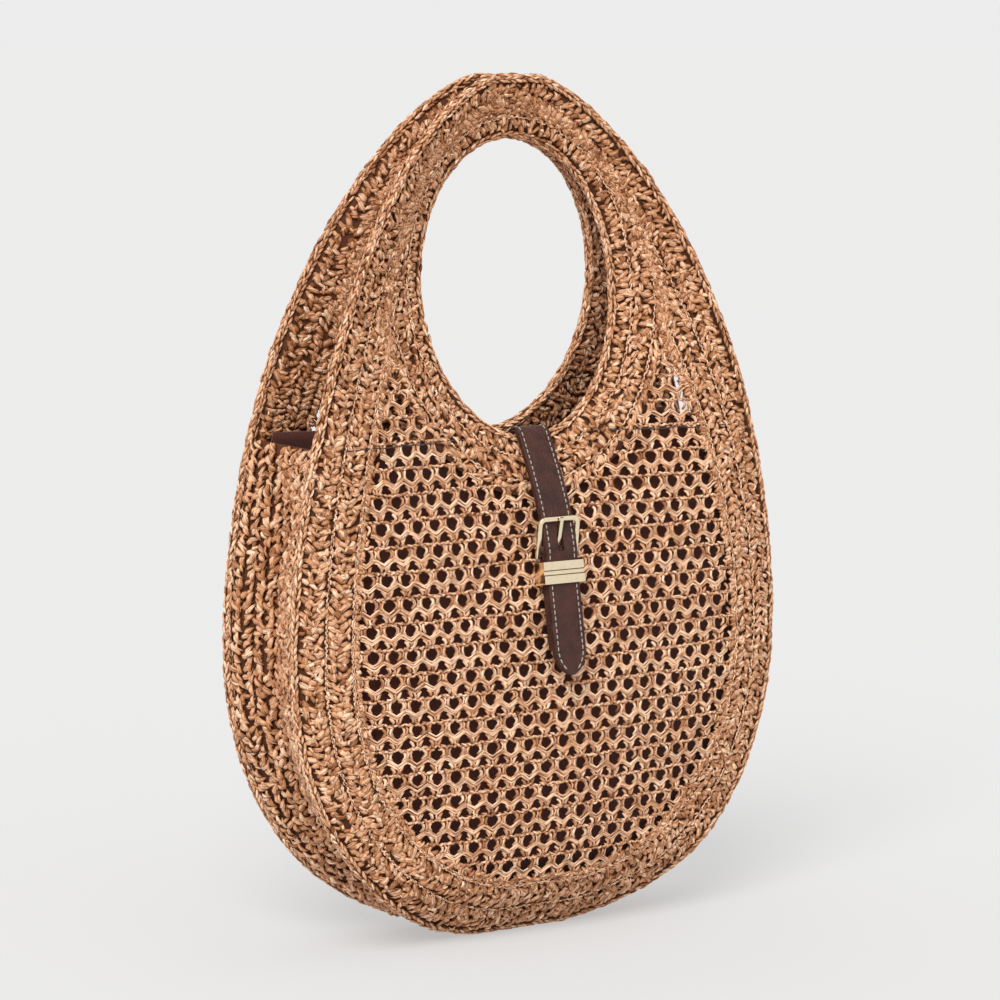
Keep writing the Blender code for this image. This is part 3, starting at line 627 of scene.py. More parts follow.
def leaves(heap, line, face, s0, b0, angle, length, fat, keep, side, high=0.0, shift=0.0):
    """Plump leaves of raffia about (s0, b0), turned by angle from the way of the line."""
    count = len(s0)
    t = np.array([-0.5, -0.2, 0.2, 0.5])
    bend = jitter((count, 1), 0.0008) * (1 - (2 * t) ** 2)
    s = s0[:, None] + np.cos(angle)[:, None] * length[:, None] * t - np.sin(angle)[:, None] * bend
    b = b0[:, None] + np.sin(angle)[:, None] * length[:, None] * t + np.cos(angle)[:, None] * bend
    tilt = jitter((count, 1), 0.0005) * t * 2
    h = 0.0004 + high + 0.0013 * (1 - (2 * t) ** 2) + tilt + jitter((count, 1), 0.0003)
    h = h + jitter((count, 4), 0.00022)
    wide = fat[:, None] * LEAF
    flat_strands(heap, line, face, s, side * b, h, wide, 0.40 * wide + 0.0001, keep, shift, 5)


def row(heap, line, face, start, end, keep, side, slant, size=1.0):
    """A dense row of stitches between two distances from the line, leaning by slant degrees."""
    count = int(line.length / (STITCH * size))
    pitch = line.length / count
    half = (end - start) / 2
    middle = (start + end) / 2
    place = (np.arange(count) + 0.5) * pitch
    for number in range(3):
        s0 = place + (number - 1) * pitch * 0.36 + jitter(count, 0.00055)
        b0 = middle + (number - 1) * half * 0.42 * (-1) ** number + jitter(count, 0.0007)
        angle = np.radians(slant + (12, -16, 8)[number]) + jitter(count, 0.30)
        length = half * 1.75 * (1 + jitter(count, 0.14))
        fat = (0.00128, 0.00146, 0.00120)[number] * (1 + jitter(count, 0.15))
        leaves(heap, line, face, s0, b0, angle, length, fat, keep, side, 0.0002 * number)
    s0 = place + jitter(count, 0.0012)
    leaves(
        heap, line, face, s0, middle + jitter(count, half * 0.6), jitter(count, 0.9),
        half * 1.2 * (1 + jitter(count, 0.15)), 0.00085 * (1 + jitter(count, 0.2)), keep, side,
        0.0008, 0.14,
    )


def posts(heap, line, face, start, end, keep, side):
    """A dense row of upright stitches."""
    row(heap, line, face, start, end, keep, side, 78.0, 0.86)


def chain_line(heap, line, face, at, keep, side, tone_shift=0.34):
    """A pale line of small links lying on the ridge between two rows."""
    count = int(line.length / (STITCH * 0.62))
    pitch = line.length / count
    t = np.linspace(0, 1, 4)
    for hand in (-1, 1):
        s0 = (np.arange(count) + 0.25 * hand) * pitch
        s = s0[:, None] + pitch * 1.0 * (t - 0.5) + jitter((count, 1), 0.00025)
        b = at + hand * (0.00055 * np.sin(math.pi * t) - 0.0001) + jitter((count, 1), 0.00018)
        h = 0.0016 + 0.0005 * np.sin(math.pi * t) + jitter((count, 1), 0.0002)
        wide = 0.00042 * np.array([0.5, 1.0, 1.0, 0.5])
        flat_strands(heap, line, face, s, side * b, h, wide, 0.0004, keep, tone_shift, 4)


def dense_shade_sheet(name, bearings, near, far, face):
    """Dark sheet under dense stitches, painted shade for the gaps between them, between two distances
    from the opening's middle.
    """
    radius = near[:, None] + (far - near)[:, None] * np.linspace(0, 1, 6)
    x = radius * np.sin(bearings)[:, None]
    z = HOLE_Z - radius * np.cos(bearings)[:, None]
    outer, inner = (on_panel(x, z, level + 0 * x, face)[0] for level in (0.0003, -0.0008))
    return slab(name, outer, inner, SHADE_SHEET, True)


def border(side_name, face):
    line = Line(outline())

    def keep(x, z):
        bearing, far = polar(x, z)
        return far > border_inside(bearing) + 0.0006

    def high(x, z):
        return keep(x, z) & (z > GUSSET_TOP - 0.015)

    base = EDGE_CORD
    outer, inner, back = Heap(), Heap(), Heap()
    row(outer, line, face, base, base + 0.0066, keep, -1, 50.0)
    row(outer, line, face, base + 0.0058, base + 0.0122, keep, -1, -48.0)
    chain_line(outer, line, face, base + 0.0128, keep, -1)
    row(inner, line, face, base + 0.0134, base + 0.0198, keep, -1, 46.0)
    row(inner, line, face, base + 0.0190, base + 0.0256, keep, -1, -50.0)
    chain_line(inner, line, face, base + 0.0264, keep, -1, 0.32)
    chain_line(inner, line, face, base + 0.0277, keep, -1, 0.22)
    for k in range(4):
        start = base + 0.0066 * k
        row(back, line, face * 2, start, start + 0.0068, high, -1, (55.0, -52.0)[k % 2], 1.1)
    bearings = np.linspace(-math.pi, math.pi, 181)[:-1]
    near, far = border_inside(bearings) - 0.0012, radius_at(BORDER_FAR, bearings) + 0.0010
    shade_sheet = dense_shade_sheet(side_name + "_border_core", bearings, near, far, face)
    return [
        outer.build(side_name + "_border_outer_rows", RAFFIA),
        inner.build(side_name + "_border_inner_rows", RAFFIA),
        back.build(side_name + "_border_back_rows", RAFFIA), shade_sheet,
    ]


def ring(side_name, face):
    line = Line(hole(RIM_CORD))

    def keep(x, z):
        bearing, far = polar(x, z)
        return far < ring_outside(bearing) - 0.0002

    def back_keep(x, z):
        return keep(x, z) & (z > GUSSET_TOP - 0.022)

    heap, back = Heap(), Heap()
    posts(heap, line, face, 0.0002, 0.0064, keep, 1)
    chain_line(heap, line, face, 0.0070, keep, 1)
    row(heap, line, face, 0.0072, 0.0126, keep, 1, 22.0)
    posts(heap, line, face, 0.0126, 0.0188, keep, 1)
    chain_line(heap, line, face, 0.0194, keep, 1)
    row(heap, line, face, 0.0196, 0.0252, keep, 1, -40.0)
    for k in range(4):
        start = 0.0001 + 0.0064 * k
        row(back, line, face * 2, start, start + 0.0066, back_keep, 1, (60.0, -52.0)[k % 2], 1.1)
    bearings = np.linspace(-math.pi, math.pi, 145)[:-1]
    near, far = radius_at(RING_NEAR, bearings) - 0.0010, ring_outside(bearings) + 0.0012
    shade_sheet = dense_shade_sheet(side_name + "_ring_core", bearings, near, far, face)
    return [
        heap.build(side_name + "_ring_rows", RAFFIA),
        back.build(side_name + "_ring_back_rows", RAFFIA), shade_sheet,
    ]


def plait(heap, centre, radius, pitch, faces):
    """Chain-stitched cord: rows of Vs laid round it, each facing one of the given directions."""
    length = centre.length
    count = int(length / pitch)
    pitch = length / count
    t = np.linspace(0, 1, 4)
    for number, facing in enumerate(faces):
        for hand in (-1, 1):
            s0 = (np.arange(count) + 0.5 * (number % 2)) * pitch + jitter(count, 0.00045)
            s = s0[:, None] + pitch * 1.35 * (t - 0.5)
            spread = np.radians(facing + hand * (44 - 36 * t)) + jitter((count, 1), 0.16)
            lift = radius * (0.86 + 0.2 * np.sin(math.pi * t)) + jitter((count, 1), 0.00025)
            point, across, up = centre(s)
            ray = np.cos(spread)[..., None] * across + np.sin(spread)[..., None] * up
            path = point + lift[..., None] * ray
            wide = 0.00092 * np.array([0.5, 1.1, 1.0, 0.4])
            tone = (shade_at(point[:, 0, 2], count) + 0.14)[:, None] + 0 * s
            heap.strands(path, ray, wide, 0.00058, tone, 4)


class CordLine:
    """Centre of an edging: a panel's line at an inset, with the directions out of the panel."""

    def __init__(self, line, away, face, sign):
        self.line, self.away, self.face, self.sign = line, away, face, sign
        self.length = line.length

    def __call__(self, s):
        x, z = self.line.at(s, self.away)
        x2, z2 = self.line.at(s, self.away + self.sign * 0.001)
        point, normal = on_panel(x, z, 0 * x, self.face)
        beyond = np.stack([x2 - x, 0 * x, z2 - z], axis=-1)
        beyond -= normal * np.sum(beyond * normal, axis=-1, keepdims=True)
        beyond /= np.linalg.norm(beyond, axis=-1, keepdims=True)
        return point, beyond, normal


# A closed tube along a cord's centre, used as a dark tube of painted shade inside the edge cords.
def cord_shade_tube(name, centre, radius, look, sides=8, count=220):
    s = np.linspace(0, centre.length, count + 1)[:-1]
    point, out, up = centre(s)
    turn = np.arange(sides) * 2 * math.pi / sides
    rings = point[:, None] + radius * (
        np.cos(turn)[None, :, None] * out[:, None] + np.sin(turn)[None, :, None] * up[:, None]
    )
    index = np.arange(count * sides).reshape(count, sides)
    after, beside = np.roll(index, -1, axis=0), np.roll(index, -1, axis=1)
    quads = np.stack([index, beside, np.roll(after, -1, axis=1), after], -1).reshape(-1, 4)
    return mesh_object(name, rings.reshape(-1, 3), quads, look, np.full(count * sides, 0.5))


def edging(name, line, away, face, sign, radius, pitch, shade_tube_radius):
    """Chain-stitched edging beside a line of a panel, round a dark tube of painted shade that shows
    between its links.
    """
    centre = CordLine(line, away, face, sign)
    heap = Heap()
    plait(heap, centre, radius, pitch, (85, -5, -95))
    return heap.build(name + "_chain", RAFFIA), cord_shade_tube(name + "_core", centre, shade_tube_radius, SHADE_SHEET)


def edge_cord(side_name, face):
    line = Line(outline())
    return edging(side_name + "_edge", line, -EDGE_CORD / 2, face, 1, 0.0021, 0.0035, 0.0019)


def rim_cord(side_name, face):
    line = Line(hole())
    return edging(side_name + "_rim", line, RIM_CORD / 2, face, -1, 0.0019, 0.0033, 0.0017)


# ---------------------------------------------------------------- gusset

GUSSET_LINE = np.roll(outline(), SAMPLES // 2, axis=0)
GUSSET_LINE = Line(GUSSET_LINE[GUSSET_LINE[:, 1] < GUSSET_TOP + 0.0005], closed=False)
GUSSET_REACH = GUSSET_HALF - EDGE_CORD / 2


def on_gusset(s, y, h):
    """(points, outward normals) of the gusset at distances s along it and y across it."""
    def place(s, y):
        x, z = GUSSET_LINE.at(s)
        share = np.clip(y / GUSSET_REACH, -1, 1)
        grown = np.clip(z / FOLD_STARTS, 0, 1)
        near_top = np.clip((GUSSET_TOP - z) / 0.05, 0, 1)
        fold = GUSSET_FOLD * (0.45 + 0.75 * near_top) * (1 - np.abs(share) ** 1.1)
        room = 1 - tuck(z + EDGE_CORD / 2) / GUSSET_REACH
        x, z = GUSSET_LINE.at(s, -(grown * (0.0012 + fold) + 0.0018))
        return np.stack([x, MIDDLE_Y + sway(z) + y * room + 0 * x, z], axis=-1)

    step = NORMAL_STEP
    ahead = place(s + step, y) - place(s - step, y)
    across = place(s, y + step) - place(s, y - step)
    normal = np.cross(across, ahead)
    normal /= np.linalg.norm(normal, axis=-1, keepdims=True)
    return place(s, y) + normal * np.asarray(h)[..., None], normal


def gusset():
    rows = 9
    width = 2 * GUSSET_REACH / rows
    heap = Heap()
    pitch = 0.0056
    count = int(GUSSET_LINE.length / pitch)
    t = np.linspace(0, 1, 5)
    for row_number in range(rows):
        middle = -GUSSET_REACH + (row_number + 0.5) * width
        lean = 1 if row_number % 2 else -1
        deep = 1 - abs(middle) / GUSSET_REACH
        for hand in (-1, 0, 1):
            s0 = (np.arange(count) + 0.5 + 0.33 * hand + 0.5 * (row_number % 2)) * pitch
            s0 = s0 + jitter(count, 0.0008)
            angle = np.radians(lean * (38 + 26 * hand)) + jitter(count, 0.34)
            long = (0.0064 + 0.0012 * deep) * (1 + jitter(count, 0.15))
            s = s0[:, None] + (np.cos(angle) * long)[:, None] * (t - 0.5)
            y = middle + (np.sin(angle) * long)[:, None] * (t - 0.5) * 0.9
            y = y + hand * width * 0.16 + jitter((count, 1), 0.0007)
            crown = (0.0020 + 0.0005 * deep) * np.sin(math.pi * t)
            h = -0.0004 + crown + jitter((count, 1), 0.0006)
            s = np.clip(s, 0.0008, GUSSET_LINE.length - 0.0008)
            point, normal = on_gusset(s, np.clip(y, -GUSSET_REACH, GUSSET_REACH), h)
            fat = (0.00125 + 0.00025 * deep) * (1 + jitter((count, 1), 0.16))
            wide = fat * np.array([0.36, 0.95, 1.15, 0.95, 0.38])
            # Painted shade: strands are darker towards the middle of the gusset, where it folds in.
            tone = (shade_at(point[:, 0, 2], count) + 0.11 - 0.22 * deep)[:, None] + 0 * s
            heap.strands(point, normal, wide, 0.62 * wide, tone, 5)
    piece = heap.build("gusset_rows", RAFFIA)
    # Dark sheet under the gusset rows: painted shade for the gaps between them.
    s = np.linspace(0, GUSSET_LINE.length, 121)[:, None] + np.zeros((1, 15))
    y = np.linspace(-GUSSET_REACH, GUSSET_REACH, 15)[None, :] + np.zeros((121, 1))
    outer, _ = on_gusset(s, y, 0 * s - 0.0008)
    inner, _ = on_gusset(s, y, 0 * s - 0.0022)
    for grid in (outer, inner):
        grid[..., 2] = np.maximum(grid[..., 2], 0.0002)
    return piece, slab("gusset_core", outer, inner, SHADE_SHEET)


# ---------------------------------------------------------------- openwork

def fillers(side_name, face):
    """Dense stitches where ring, openwork and border are joined to each other."""
    heap = Heap()
    bearing = np.repeat(np.linspace(-1.75, 1.75, 520), 4)
    bearing = bearing + jitter(len(bearing), 0.004)
    near, far = ring_outside(bearing), border_inside(bearing)
    room = far - near
    radius = near - 0.0012 + (room + 0.0024) * RNG.random(len(bearing))
    few = (room < 0.0115) & (np.abs(bearing) > 0.6)
    seam = np.repeat(np.linspace(1.1, 2 * np.pi - 1.1, 560), 3)
    beside = ring_outside(seam) + jitter(len(seam), 0.0019)
    closed = border_inside(seam) - ring_outside(seam) < 0.004
    reach = np.repeat(np.linspace(-2.6, 2.6, 820), 2)
    high = np.abs(reach) > 1.15
    edge = border_inside(reach) - np.where(high, 0.0024, 0.0014)
    edge = edge + jitter(len(reach), 0.0012) * np.where(high, 1.9, 1.0)
    lined = border_inside(reach) - ring_outside(reach) > 0.004
    bearing = np.concatenate([bearing[few], seam[closed], reach[lined]])
    radius = np.concatenate([radius[few], beside[closed], edge[lined]])
    turn = bearing + np.pi / 2 + jitter(len(bearing), 0.7)
    t = np.array([-0.5, -0.2, 0.2, 0.5]) * 0.0042
    x = (radius * np.sin(bearing))[:, None] + np.sin(turn)[:, None] * t
    z = (HOLE_Z - radius * np.cos(bearing))[:, None] - np.cos(turn)[:, None] * t
    h = 0.0005 + np.array([0.0, 0.0011, 0.0011, 0.0]) + jitter((len(x), 1), 0.0003)
    for side in (1, -1):
        seen = slice(None) if side > 0 else z[:, 0] > GUSSET_TOP - 0.02
        point, normal = on_panel(x[seen], z[seen], side * h[seen], face)
        tone = shade_at(z[seen][:, 0], len(point))[:, None] + 0 * x[seen]
        heap.strands(point, side * normal, 0.0011 * LEAF + 0 * x[seen], 0.00062, tone, 4)
    return heap.build(side_name + "_openwork_joins", RAFFIA)


def openwork(side_name, face):
    """Rows of big holes over zigzags of flat ribbon, tent-shaped holes and rows of knots."""
    columns = np.arange(-13, 14)
    rows = np.arange(0, 26)
    u0, v0 = np.meshgrid(columns, rows, indexing="ij")
    u0, v0 = (u0 - 0.06 * (v0 - 10)).ravel(), v0.ravel() + 0.35

    def inside(x, z, margin=0.0):
        bearing, far = polar(x, z)
        return (far > ring_outside(bearing) - margin) & (far < border_inside(bearing) + margin)

    def lay(heap, du, dv, h, wide, thick, shift=0.0, wobble=0.00022, sides=6):
        """One strand in every cell, its points given in cells; h, wide and thick in metres."""
        du, dv, h = (np.asarray(v, float) for v in (du, dv, h))
        x = (u0[:, None] + du) * MESH_PITCH
        z = (v0[:, None] + dv) * MESH_RISE
        x = x + jitter((len(x), 1), wobble) + jitter(x.shape, wobble * 0.5)
        z = z + jitter((len(x), 1), wobble) + jitter(x.shape, wobble * 0.5)
        middle = x.shape[1] // 2
        good = inside(x[:, middle], z[:, middle], 0.0032)
        good &= inside(x[:, 0], z[:, 0], 0.0060) & inside(x[:, -1], z[:, -1], 0.0060)
        x, z = x[good], z[good]
        point, normal = on_panel(x, z, h + jitter((len(x), 1), 0.0002) + 0 * x, face)
        tone = (shade_at(z[:, 0], len(z)) + shift + 0.09)[:, None] + 0 * x
        heap.strands(point, normal, np.asarray(wide) + 0 * x, thick, tone, sides)

    bands, knots = Heap(), Heap()
    u = np.array([-0.56, -0.37, -0.17, 0.0, 0.17, 0.37, 0.56])
    v = np.array([-0.145, -0.205, -0.320, -0.395, -0.320, -0.205, -0.145])
    rise = np.array([0.0, 0.4, 0.8, 1.0, 0.8, 0.4, 0.0]) * 0.0003
    for off, height, shift in ((0.076, 0.0011, 0.16), (0.0, 0.0014, 0.10), (-0.076, 0.0011, 0.18)):
        lay(bands, u, v + off, height + rise, 0.00055, 0.00034, shift, 0.00018, 6)
    arch = np.array([0.0, 1.0, 1.0, 0.0])
    full = np.array([0.7, 1.0, 1.0, 0.75])
    for hand in (-1, 1):
        lay(bands, 0.5 + hand * np.array([0.27, 0.15, 0.13, 0.27]), [0.24, 0.12, 0.0, -0.17],
            0.0006 + 0.0008 * arch, 0.00092 * full, 0.0006, 0.06)
        lay(knots, hand * np.array([0.32, 0.21, 0.15, 0.17]), [-0.40, -0.48, -0.57, -0.68],
            0.0006 + 0.0008 * arch, 0.00092 * full, 0.0006, 0.06)
    lay(bands, 0.5 + np.array([-0.05, 0.02, -0.02, 0.03]), [0.25, 0.12, 0.0, -0.12],
        0.0008 + 0.0010 * arch, 0.00062 * full, 0.0005, -0.04)
    lay(knots, np.array([0.03, -0.02, 0.02, -0.03]), [-0.42, -0.50, -0.58, -0.67],
        0.0008 + 0.0010 * arch, 0.00062 * full, 0.0005, -0.02)
    knob = np.array([0.45, 1.0, 1.0, 0.45])
    for number in range(6):
        at = -0.42 + number / 6
        lean = 0.035 * (-1) ** number
        lay(knots, at + np.array([-0.12, -0.04, 0.04, 0.12]),
            0.285 + lean * np.array([-1.0, -0.4, 0.4, 1.0]),
            0.0006 + 0.0011 * arch, 0.00072 * knob, 0.00055, 0.04, 0.00034, 4)
    for at, high in ((-0.24, 0.225), (0.24, 0.225), (0.03, 0.345), (-0.46, 0.245)):
        lay(knots, at + np.array([-0.12, -0.03, 0.03, 0.12]), high + 0.015 * arch,
            0.0004 + 0.0010 * arch, 0.00066 * knob, 0.00050, 0.08, 0.00034, 4)
    return [
        bands.build(side_name + "_openwork_bands", RAFFIA),
        knots.build(side_name + "_openwork_knots", RAFFIA),
        fillers(side_name, face),
    ]


def sewn_line(side_name, face):
    """Thread along the top of the lining."""
    heap = Heap()
    z = HOLE_Z - HOLE_HALF_HEIGHT
    for x0, x1 in ((-0.122, -0.040), (0.040, 0.122)):
        count = int((x1 - x0) / 0.0036)
        x = x0 + (np.arange(count)[:, None] + 0.5 + 1.06 * np.linspace(-0.5, 0.5, 5)) * 0.0036
        high = z + jitter((count, 1), 0.0002) + 0 * x
        h = 0.0019 + 0.0004 * np.sin(np.linspace(0, math.pi, 5)) + 0 * x
        point, normal = on_panel(x, high, h, face)
        heap.strands(point, normal, 0.00030 + 0 * x, 0.00030, 0.5 + 0 * x)
    return heap.build(side_name + "_sewn_line", THREAD)


# ---------------------------------------------------------------- lining


def half_width(z, inset):
    right = outline(inset)[: SAMPLES // 2]
    return np.interp(z, right[:, 1], right[:, 0])


def crumple(x, z, size):
    return size * (
        np.sin(34 * x + 21 * z + 1.0) + 0.7 * np.sin(57 * x - 43 * z)
        + 0.5 * np.sin(90 * z + 15 * x)
    )


def lining_face(side_name, face):
    inset = CLOTH + LINING_MARGIN
    across, rise = np.linspace(-1, 1, 61), np.linspace(0, 1, 64) ** 1.2
    z = (inset + (GUSSET_TOP - inset) * rise)[:, None] * np.ones_like(across)
    x = half_width(z, inset) * across
    lift = np.clip((z - POCKET_TOP) / (GUSSET_TOP - POCKET_TOP), 0, 1)
    z = z + lift * (LINING_RISE - LINING_DIP * np.exp(-((x / LINING_DIP_REACH) ** 2)))
    soft = crumple(x, z, 0.00018)
    hem = np.exp(-(((1 - rise)[:, None] * 9) ** 4)) * 0.00035
    outer, _ = on_panel(x, z, -LINING_INSET + 0.0003 + soft + hem, face)
    inner, _ = on_panel(x, z, -LINING_INSET - 0.0003 + soft - hem, face)
    piece = slab(side_name + "_lining", outer, inner, TWILL)
    stitches = Heap()
    count = 84
    share = np.linspace(-0.99, 0.99, count)[:, None] + 0.008 * np.linspace(-1, 1, 4)
    index = (share + 1) / 2 * (len(across) - 1)
    top = [np.interp(index, np.arange(len(across)), values[-6]) for values in (x, z)]
    point, normal = on_panel(top[0], top[1], -LINING_INSET - 0.0007 + 0 * index, face)
    stitches.strands(point, -normal, 0.00028 + 0 * index, 0.00022, 0.6 + 0 * index, 4)
    return piece, stitches.build(side_name + "_lining_stitches", THREAD)


def lining_side():
    """Lining of the bottom and sides, folded in with the gusset."""
    reach = GUSSET_HALF - LINING_INSET - 0.0008
    line = Line(np.roll(outline(LINING_MARGIN), SAMPLES // 2, axis=0))
    keep = line.ring[:-1]
    line = Line(keep[keep[:, 1] < GUSSET_TOP - 0.003], closed=False)
    s = np.linspace(0, line.length, 150)[:, None] + np.zeros((1, 17))
    share = np.linspace(-1, 1, 17)[None, :] + np.zeros((150, 1))

    def grid(extra):
        x, z = line.at(s)
        push = np.clip((z - LINING_MARGIN) / FOLD_STARTS, 0, 1) * GUSSET_FOLD * (1 - share**2)
        room = reach - tuck(z)
        x, z = line.at(s, -(push + extra + crumple(s, share * 0.03, 0.00012)))
        return np.stack([x, MIDDLE_Y + sway(z) + room * share, z], axis=-1)

    outer = grid(0.0002)
    piece = slab("side_lining", outer, grid(0.0008), TWILL)
    return piece


def slip_pocket():
    across, up = np.linspace(-1, 1, 41), np.linspace(0, 1, 31)
    x = POCKET_HALF_WIDTH * across[None, :] + np.zeros((31, 1))
    z = (POCKET_BOTTOM + (POCKET_TOP - POCKET_BOTTOM) * up)[:, None] + np.zeros((1, 41))
    away = np.minimum((1 - np.abs(across)) / 0.12, 1)[None, :] * np.minimum(up / 0.10, 1)[:, None]
    level = -LINING_INSET - 0.0009 - (POCKET_GAP - 0.0009) * np.sin(away * math.pi / 2)
    level = level + crumple(x * 1.4, z, 0.0002) * away
    hem = np.exp(-(((1 - up)[:, None] * 12) ** 4)) * 0.0003
    outer, _ = on_panel(x, z, level + 0.0003 + hem, 1)
    inner, _ = on_panel(x, z, level - 0.0003 - hem, 1)
    piece = slab("slip_pocket", outer, inner, TWILL)
    return piece


# ---------------------------------------------------------------- closure strap

def depth(z):
    return -float(cloth_half(0.0, z))


class Tail:
    """Straight line on the front panel that the end of the strap lies along."""

    def __init__(self, z):
        step = 0.001
        up = np.array([depth(z + step) - depth(z - step), 2 * step])
        self.up = up / np.linalg.norm(up)
        self.out = np.array([-self.up[1], self.up[0]])
        self.start = np.array([depth(z), z])

    def at(self, z, level, along=0.0):
        foot = self.start + self.up * (z - self.start[1]) / self.up[1]
        return foot + self.up * along + self.out * level


TAIL = Tail((STRAP_TIP_Z + BAR_Z + FRAME_HEIGHT) / 2)


def hermite(start, end, leave, arrive, count):
    t = np.linspace(0, 1, count)[:, None]
    return (
        (2 * t**3 - 3 * t**2 + 1) * start + (t**3 - 2 * t**2 + t) * leave
        + (3 * t**2 - 2 * t**3) * end + (t**3 - t**2) * arrive
    )


def rim_centre():
    z = HOLE_Z - HOLE_HALF_HEIGHT - RIM_CORD / 2
    rise = HOLE_HALF_HEIGHT * (1 - math.sqrt(1 - (STRAP_WIDTH / 2 / HOLE_HALF_WIDTH) ** 2))
    return np.array([depth(z), z + rise])


def front_hinge():
    return rim_centre() + np.array([0.0, RIM_CORD / 2 + RIM_CLEARANCE + STRAP_THICKNESS / 2])


def strap_inset():
    slope = math.atan((depth(REAR_HINGE_Z) - depth(REAR_HINGE_Z - ANCHOR_LENGTH)) / ANCHOR_LENGTH)
    return LINING_INSET + 0.0011 + (GAP + STRAP_THICKNESS / 2) / math.cos(slope)


def rear_hinge():
    return np.array([-depth(REAR_HINGE_Z) - strap_inset(), REAR_HINGE_Z])


def front_line():
    turn = np.radians(90.0 + np.linspace(0, RIM_TURN, 25))
    radius = front_hinge()[1] - rim_centre()[1]
    bend = rim_centre() + radius * np.stack([np.cos(turn), np.sin(turn)], axis=1)
    chape_top = BAR_LEVEL + BAR_RADIUS + BAR_CLEARANCE + LEATHER + GAP + STRAP_THICKNESS / 2
    flat_level = BAR_LEVEL + GAP / 2 + LEATHER + GAP + STRAP_THICKNESS / 2
    over = TAIL.at(BAR_Z, chape_top)
    reach = np.linalg.norm(over - bend[-1])
    leave = reach * np.array([-np.sin(turn[-1]), np.cos(turn[-1])])
    fall = hermite(bend[-1], over, leave, -TAIL.up * reach, 60)
    flat = TAIL.at(BAR_Z, flat_level, -CHAPE_NECK)
    drop = hermite(over, flat, -TAIL.up * CHAPE_NECK, -TAIL.up * CHAPE_NECK, 12)
    tip = TAIL.at(STRAP_TIP_Z, flat_level)
    end = flat + np.linspace(0, 1, 60)[:, None] * (tip - flat)
    return np.concatenate([bend, fall[1:], drop[1:], end[1:]])


def along_of(line):
    return np.concatenate([[0], np.cumsum(np.linalg.norm(np.diff(line, axis=0), axis=1))])


def resample(line, at):
    along = along_of(line)
    return np.stack([np.interp(at, along, line[:, k]) for k in range(2)], axis=1)


def across_of(line):
    ahead = np.gradient(line, axis=0)
    ahead /= np.linalg.norm(ahead, axis=1)[:, None]
    return np.stack([-ahead[:, 1], ahead[:, 0]], axis=1)


def ply(name, line, level, half, widths, look, columns, missing=(), round_off=0.00035):
    """One thickness of leather along a line of (y, z) points, with rounded edges."""
    away = across_of(line)
    x = np.asarray(widths)[:, None] * np.asarray(columns)[None, :]
    grids = []
    for side in (level + half, level - half):
        points = line + away * side
        grids.append(np.stack([
            x, MIDDLE_Y + points[:, 0, None] + 0 * x, points[:, 1, None] + 0 * x
        ], axis=-1))
    rows, count = x.shape
    cells = {(i, k) for i in range(rows - 1) for k in range(count - 1)} - set(missing)
    back = rows * count
    faces = []
    for i, k in sorted(cells):
        a, b, c, d = i * count + k, (i + 1) * count + k, (i + 1) * count + k + 1, i * count + k + 1
        faces += [(a, b, c, d), (back + d, back + c, back + b, back + a)]
        for beside, (p, q) in (
            ((i, k - 1), (a, b)), ((i, k + 1), (c, d)), ((i + 1, k), (b, c)), ((i - 1, k), (d, a)),
        ):
            if beside not in cells:
                faces.append((p, back + p, back + q, q))
    mesh = bpy.data.meshes.new(name)
    mesh.from_pydata(np.concatenate([g.reshape(-1, 3) for g in grids]).tolist(), [], faces)
    shape = bmesh.new()
    shape.from_mesh(mesh)
    bmesh.ops.delete(shape, geom=[v for v in shape.verts if not v.link_faces], context="VERTS")
    bmesh.ops.recalc_face_normals(shape, faces=shape.faces)
    if round_off:
        sharp = [e for e in shape.edges if e.calc_face_angle(0.0) > math.radians(50)]
        bmesh.ops.bevel(
            shape, geom=sharp, offset=round_off, segments=3, profile=0.5, affect="EDGES",
            clamp_overlap=True,
        )
    shape.to_mesh(mesh)
    shape.free()
    mesh.shade_smooth()
    mesh.set_sharp_from_angle(angle=math.radians(55))
    mesh.materials.append(look)
    return add(name, mesh)


def join(name, objects):
    """Several objects as one piece, each keeping its material."""
    mesh = bpy.data.meshes.new(name)
    shape = bmesh.new()
    for number, made in enumerate(objects):
        before = len(shape.faces)
        shape.from_mesh(made.data)
        shape.faces.ensure_lookup_table()
        for face in shape.faces[before:]:
            face.material_index = number
        mesh.materials.append(made.data.materials[0])
    shape.to_mesh(mesh)
    shape.free()
    for made in objects:
        bpy.data.objects.remove(made)
    return add(name, mesh)


def thread(heap, line, x, level, first, last, pitch=0.0032, size=0.00033):
    """Stitches of pale thread along a strap, x from its middle, sunk a little in the leather."""
    number = max(1, int((last - first) / pitch))
    start = first + (np.arange(number) + 0.5) * (last - first) / number
    t = np.linspace(-0.5, 0.5, 5)
    at = start[:, None] + 0.0025 * t
    along = along_of(line)
    away = across_of(line)
    y, z, ay, az = (
        np.interp(at, along, column) for column in (line[:, 0], line[:, 1], away[:, 0], away[:, 1])
    )
    sides = np.interp(at, along, np.broadcast_to(x, len(line)))
    up = level + np.sign(level) * (0.00012 - 0.0006 * (2 * t) ** 4)
    path = np.stack([sides + 0 * at, MIDDLE_Y + y + ay * up, z + az * up], axis=-1)
    normal = np.stack([0 * at, ay, az], axis=-1) * np.sign(level)
    heap.strands(path, normal, size + 0 * at, size * 0.8, 0.5 + 0 * at)


SLOT_SHARE = PRONG_SLOT_WIDTH / STRAP_WIDTH
STRAP_COLUMNS = (-1.0, -0.62, -SLOT_SHARE, SLOT_SHARE, 0.62, 1.0)


